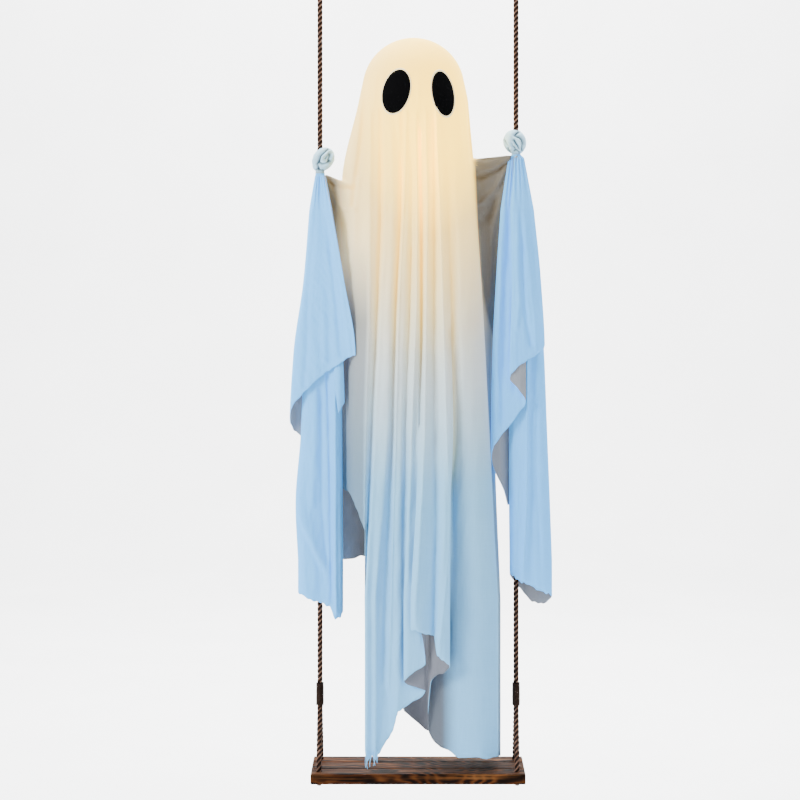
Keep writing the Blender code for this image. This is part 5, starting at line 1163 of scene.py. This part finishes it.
def hanging_rows(folds, creases, rope_across, ring_down, closed, ring_radius, seed):
    """Rows from the gathered ring under the knot down to each fold's own hem."""
    folds = np.array(folds, dtype=float)
    spans = len(folds) if closed else len(folds) - 1
    places = np.arange(spans * FOLD_PARTS + (0 if closed else 1)) / FOLD_PARTS
    levels = len(SIDE_LEVELS)
    fields = eased_across(folds[:, :levels + 1], places, closed)
    acrosses, depth = fields[:, :levels], fields[:, levels]
    hems = straight_across(folds[:, levels + 1], places, closed)
    turns = math.pi + (math.tau if closed else math.pi) * places / spans
    ring_reach = ring_radius / METRES_PER_PIXEL
    flare_down = ring_down + FLARE_ROOM_PIXEL
    gather = 1 + 0.07 * np.sin(places * math.tau)
    rows = []
    for share in np.linspace(0.0, 1.0, RING_ROWS)[:-1]:
        swell = share * share * (3 - 2 * share)
        across = rope_across + ring_reach * np.cos(turns) * (1 - swell) + (
            acrosses[:, 0] - rope_across) * FLARE_SHARE * gather * swell
        toward = -ring_reach * np.sin(turns) * (1 - swell) + depth * FLARE_SHARE * gather * swell
        rows.append(seen_points(across, ring_down + FLARE_ROOM_PIXEL * share, toward))
    for share in np.linspace(0.0, 1.0, FALL_ROWS):
        ragged = 1.1 * soft_field(seed, places * 9, np.zeros(1), 6.0) * share ** 8
        downs = flare_down + (hems + ragged - flare_down) * share
        flared = rising(downs, flare_down, SIDE_LEVELS[0] - flare_down)
        spread = (FLARE_SHARE + (1 - FLARE_SHARE) * flared) * (1 + (gather - 1) * (1 - flared))
        across = rope_across + (eased_down(SIDE_LEVELS, acrosses, downs) - rope_across) * spread
        toward = depth * spread
        loose = rising(downs, LOOSE_PIXEL, 60.0)
        crumple = crumpled((seed + 1, seed + 2), across, downs, toward, (9.0, 0.3, 0.4), (4.5, 0.45, 0.22))
        outer = rising(toward, 0.0, 5.0) * loose
        toward = toward + np.sign(toward + 0.001) * crumple * loose + outer * creased(across, downs, creases)
        rows.append(seen_points(across, downs, toward))
    return rows


inner_ring = ROPE_DIAMETER / 2 + SEAM_GAP + CLOTH_THICKNESS + 0.0004
SLEEVE_FLATS = {"left": (0.15, 0.71), "right": (0.14, 0.73)}
LAP_FLATS = {"left": (0.135, 0.41), "right": (0.17, 0.44)}
for side_name, side, sleeve_folds, sleeve_creases, lap_folds, lap_creases, seed in (
        ("left", -1, LEFT_SLEEVE, LEFT_SLEEVE_CREASES, LEFT_LAP, LEFT_LAP_CREASES, 21),
        ("right", 1, RIGHT_SLEEVE, RIGHT_SLEEVE_CREASES, RIGHT_LAP, RIGHT_LAP_CREASES, 31)):
    where = (rope_pixel(side), NECK_TOP[side_name])
    sleeve = row_mesh(
        "hanging_sleeve_" + side_name,
        hanging_rows(sleeve_folds, sleeve_creases, *where, True, inner_ring, seed),
        closed=True, threads=SLEEVE_THREADS)
    lap = row_mesh(
        "folded_lap_" + side_name,
        hanging_rows(lap_folds, lap_creases, *where, False, inner_ring + 2 * CLOTH_THICKNESS, seed + 5),
        threads=LAP_THREADS)
    for piece, replaced, flats in ((sleeve, "sleeve_", SLEEVE_FLATS), (lap, "lap_", LAP_FLATS)):
        piece.data.materials.append(side_cloth)
        piece.data.materials.append(shaded_inside_cloth)
        slit_for_bar(piece)
        thicken(piece)
        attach(piece, "swing")
        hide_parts(replaced + side_name)


# The knots. The cloth is wound twice round the rope and through itself, and pulled into a tight ball. Its
# rolls and the deep folds between them are read from the photograph, and the back has them the other way.

# Each knot: its middle across, down and towards the lens, its half width and height, and its lean.
KNOTS = {"left": (323.4, 159.6, 2.5, 10.9, 11.9, 2.2), "right": (514.7, 142.2, 2.0, 11.5, 12.1, -0.6)}
KNOT_NECK = 0.0073
KNOT_TURNS = 168
KNOT_ROWS = 96
NECK_ROWS = 7
KNOT_THREADS = (110.0, 60.0)
LEFT_KNOT_FOLDS = (
    (-3.0, 1.3, 1.3, (328.5, 148.5), (323.4, 153.3), (320.6, 155.8), (319.3, 159.4), (317.8, 162.5)),
    (1.8, 1.5, 1.5, (328.5, 151.5), (322.9, 156.6), (322.0, 159.9), (324.5, 161.5)),
    (-1.8, 1.0, 1.0, (329, 152.5), (327.5, 155.3), (325.2, 158.6)),
    (-2.2, 1.4, 1.4, (330, 154.5), (329, 159.4)), (1.4, 1.2, 1.2, (332.5, 155), (331, 160)),
    (-2.4, 1.2, 1.2, (330.5, 160.8), (325.9, 163.2), (322.4, 164), (319.9, 163)),
    (1.4, 2.6, 2.6, (322, 150.5), (317.5, 154.5), (315, 160)), (1.2, 2.0, 2.0, (325, 167), (328, 164.5)),
    (-2.6, 1.2, 1.2, (316.5, 164.2), (318.3, 167.5), (319.3, 170.6)),
    (-2.0, 1.0, 1.0, (314.7, 171.1), (317, 169.3), (319.3, 170.9), (322.4, 170.6), (325.7, 171.4)))
RIGHT_KNOT_FOLDS = (
    (-3.2, 1.3, 1.3, (520.5, 130.5), (516.9, 133.2), (514.6, 135.5), (516.9, 136.8), (519.5, 137.3),
     (522, 139.3), (522.8, 142.4), (522, 146.5), (522.3, 150.3)),
    (-3.0, 1.2, 1.2, (514.1, 139.9), (515.9, 143.2), (517.7, 145.5), (519.2, 148.5)),
    (-2.4, 1.2, 1.2, (512.2, 143.2), (512.4, 145.7), (515.2, 148)),
    (-2.4, 1.2, 1.2, (514.5, 150.8), (517.4, 150), (519.5, 152.4)),
    (-2.0, 1.2, 1.2, (504.0, 140.5), (506.5, 144.2), (509.3, 147)),
    (-2.2, 1.2, 1.2, (507.5, 148.4), (509.3, 152.4)),
    (1.6, 3.2, 3.2, (511.6, 133.5), (509.3, 139.9), (510.3, 146.2)),
    (1.8, 1.9, 1.9, (515.4, 138), (519, 140.5), (520, 143.7), (520.3, 148.8)),
    (1.4, 1.0, 1.0, (513.2, 142.2), (515.9, 146.2), (518.2, 149.6)))


def knot_rows(side_name, side, folds):
    """The rows of the ball and of its neck, and the painted shade of each point, darkest deep in a fold."""
    middle, down, toward, half_width, half_height, lean = KNOTS[side_name]
    rope_across = rope_pixel(side)
    neck = KNOT_NECK / METRES_PER_PIXEL
    turns = np.arange(KNOT_TURNS) * math.tau / KNOT_TURNS
    last_angle = math.pi - math.asin(neck / half_width)
    rows, groove_shade = [], []
    for angle in np.linspace(0.05, last_angle, KNOT_ROWS):
        share = (max(0.0, -math.cos(angle)) / -math.cos(last_angle)) ** 3
        centre = (middle + lean * math.cos(angle)) * (1 - share) + rope_across * share
        reach = half_width * math.sin(angle) ** 0.9
        across = centre + reach * np.cos(turns)
        near = toward * (1 - share)
        lower = np.full(KNOT_TURNS, down - half_height * math.cos(angle))
        facing = np.sin(turns)
        seen = np.where(facing > 0, across, 2 * middle - across)
        relief = creased(seen, lower, folds) * rising(np.abs(facing), 0.0, 1 / 3)
        relief = relief + 0.35 * soft_field(41 + side, turns * 4, lower * 0.6, 5.0) * math.sin(angle)
        grown = 1 + relief / half_width
        rows.append(seen_points(
            centre + (across - centre) * grown, lower + (lower - down) * (grown - 1) * 0.5,
            near + reach * facing * grown))
        # Painted shade in the knot's folds.
        groove_shade.append(0.9 * rising(-relief, 0.3, 2.6))
    start = down - half_height * math.cos(last_angle)
    for share in np.linspace(0.0, 1.0, NECK_ROWS)[1:]:
        ring = neck * (1 + 0.1 * np.sin(6 * turns) * share)
        rows.append(seen_points(
            rope_across + ring * np.cos(turns), start + (NECK_TOP[side_name] + 1.0 - start) * share,
            ring * np.sin(turns)))
        # Painted shade on the neck.
        groove_shade.append(np.full(KNOT_TURNS, 0.35))
    return rows, groove_shade


for side_name, side, folds in (("left", -1, LEFT_KNOT_FOLDS), ("right", 1, RIGHT_KNOT_FOLDS)):
    ball_rows, groove_shade_rows = knot_rows(side_name, side, folds)
    ball = row_mesh("tied_knot_" + side_name, ball_rows, closed=True, threads=KNOT_THREADS)
    point_values(ball, "unlit", np.concatenate(groove_shade_rows))
    close_rings(ball, (0, len(ball_rows) - 1), KNOT_TURNS)
    ball.data.materials.append(knot_cloth)
    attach(ball, "swing")
    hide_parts("knot_" + side_name)


# The eyes. Two black felt ovals are cut out and stitched to the cloth of the face. Each has a thin edge of
# cream thread, overstitched all round, and shows at the slant that the photograph gives it.

EYES = {"left": (396.5, 91.5, 13.6, 21.8, 3.6), "right": (442.7, 93.7, 10.7, 22.2, -3.2)}
EYE_THICKNESS = 0.0011
EYE_LIFT = 0.0004
EYE_RIM_PIXEL = 1.0
EYE_POINTS = 72
RIM_STITCHES = 90

# Each ring's share of the oval's reach, or of the rim's width past it, and its rise over the felt's top.
FELT_RINGS = [(share, 0.0) for share in np.linspace(0.12, 0.94, 12)] + [(0.985, -0.00012), (1.0, -0.00045)]
RIM_RINGS = [(0.15, -0.0003), (0.5, 0.00012), (0.85, -0.0003), (1.0, -0.0008)]


def felt_eye(side_name, surface):
    """A felt oval laid on the face from the front, domed a little, with its corded rim and its back."""
    across, down, half_width, half_height, lean = EYES[side_name]
    lens = Vector((VIEW_X, -VIEW_DISTANCE, VIEW_Z))
    rim = EYE_RIM_PIXEL / half_width
    rings = FELT_RINGS + [(1.0 + rim * share, rise) for share, rise in RIM_RINGS]
    rings += [(share, -EYE_THICKNESS) for share in np.linspace(1.0, 0.12, 9)]
    turns = np.arange(EYE_POINTS) * math.tau / EYE_POINTS
    grid = []
    for reach, rise in rings:
        wide, high = reach * np.cos(turns), reach * np.sin(turns)
        row = []
        for target in seen_points(across + half_width * wide + lean * high, down - half_height * high, 0.0):
            place, normal, _, _ = surface.ray_cast(lens, (Vector(target) - lens).normalized())
            normal = -normal if normal.y > 0 else normal
            row.append(place + normal * (EYE_LIFT + EYE_THICKNESS + rise))
        grid.append(row)
    eye = row_mesh("felt_eye_" + side_name, grid, closed=True)
    close_rings(eye, (0, len(grid) - 1), EYE_POINTS)
    return eye


def felt_material():
    """Dense black felt with a faint nap."""
    made, tree, shader, place = new_material("black_felt", roughness=1.0, Specular_IOR_Level=0.05)
    nap = noise(tree, place, 1400.0, 4.0, 0.7)
    cloudy = noise(tree, place, 120.0, 3.0, 0.6)
    tree.links.new(ramp(tree, nap, ((0.3, (0.0004, 0.0004, 0.0005)), (0.75, (0.0025, 0.0025, 0.003)))),
                   shader.inputs["Base Color"])
    bumped(tree, shader, maths(tree, "ADD", nap, cloudy), 0.0002, 0.7)
    return made


def cord_rim_material():
    """The cream overstitched edge of each eye, with a painted warm glow."""
    made, tree, shader, _ = new_material(
        "cream_edge_thread", roughness=0.85, Emission_Color=(1.0, 0.82, 0.36, 1.0), Emission_Strength=0.6)
    stitches = ribs(tree, parts_of(tree, threads_at(tree))[0], RIM_STITCHES)
    tree.links.new(ramp(tree, stitches, ((0.0, (0.8, 0.62, 0.3)), (0.6, (1.0, 0.85, 0.5)))),
                   shader.inputs["Base Color"])
    bumped(tree, shader, stitches, 0.0003, 0.7)
    return made


face_cloth = BVHTree.FromPolygons(
    [vertex.co for vertex in sheet.data.vertices], [tuple(face.vertices) for face in sheet.data.polygons])
felt = felt_material()
rim_thread = cord_rim_material()
first_rim_ring = len(FELT_RINGS) - 1
for side_name in EYES:
    eye = felt_eye(side_name, face_cloth)
    eye.data.materials.append(felt)
    eye.data.materials.append(rim_thread)
    for face in eye.data.polygons:
        on_rim = first_rim_ring <= min(face.vertices) // EYE_POINTS < first_rim_ring + len(RIM_RINGS)
        face.material_index = 1 if on_rim else 0
    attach(eye, "swing")
    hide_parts("eye_patch_" + side_name)


# The room: a pale floor that turns up into a pale wall, a large soft light from the upper left, a lower one
# from the right, and a cool one from behind.

FLOOR_Z = -1.82
FLOOR_FRONT = 14.0
FLOOR_BACK = 4.2                 # the floor starts to turn up here
FLOOR_HALF_WIDTH = 12.0
BEND_RADIUS = 1.2
WALL_TOP = 7.0
WORLD_STRENGTH = 0.62

bend = [(-FLOOR_FRONT, 0.0)]
for angle in np.radians(range(0, 91, 6)):
    bend.append((FLOOR_BACK + BEND_RADIUS * math.sin(angle), BEND_RADIUS * (1 - math.cos(angle))))
bend.append((FLOOR_BACK + BEND_RADIUS, WALL_TOP))
floor = row_mesh("pale_floor", [
    [(x, run, FLOOR_Z + rise) for x in np.linspace(-FLOOR_HALF_WIDTH, FLOOR_HALF_WIDTH, 9)]
    for run, rise in bend])
floor_finish, floor_tree, floor_shader, floor_place = new_material("pale_floor", roughness=0.9)
floor_mottle = noise(floor_tree, floor_place, 3.0, 3.0, 0.5)
floor_tree.links.new(ramp(floor_tree, floor_mottle, ((0.3, 0.86), (0.7, 0.9))),
                     floor_shader.inputs["Base Color"])
floor.data.materials.append(floor_finish)

for name, place, aim, size, power, colour in (
        ("key", (-2.3, -2.0, 0.6), (0, 0, -0.7), 1.1, 175, (1.0, 0.99, 0.97)),
        ("fill", (2.6, -1.6, -0.4), (0, 0, -0.8), 2.0, 34, (0.92, 0.96, 1.0)),
        ("back", (1.0, 2.4, 0.6), (0, 0, -0.7), 1.6, 60, (0.95, 0.98, 1.0)),
        ("wall_wash", (0.0, 1.5, 2.6), (0, 5.0, -0.6), 4.0, 1500, (1.0, 1.0, 1.0))):
    light_data = bpy.data.lights.new(name, "AREA")
    light_data.size = size
    light_data.energy = power
    light_data.color = colour
    light = bpy.data.objects.new(name, light_data)
    light.location = place
    light.rotation_euler = (Vector(aim) - Vector(place)).to_track_quat("-Z", "Y").to_euler()
    bpy.context.scene.collection.objects.link(light)
world = bpy.data.worlds.new("pale_room")
world.use_nodes = True
sky = world.node_tree.nodes["Background"]
sky.inputs["Color"].default_value = (0.93, 0.95, 1.0, 1.0)
sky.inputs["Strength"].default_value = WORLD_STRENGTH
bpy.context.scene.world = world
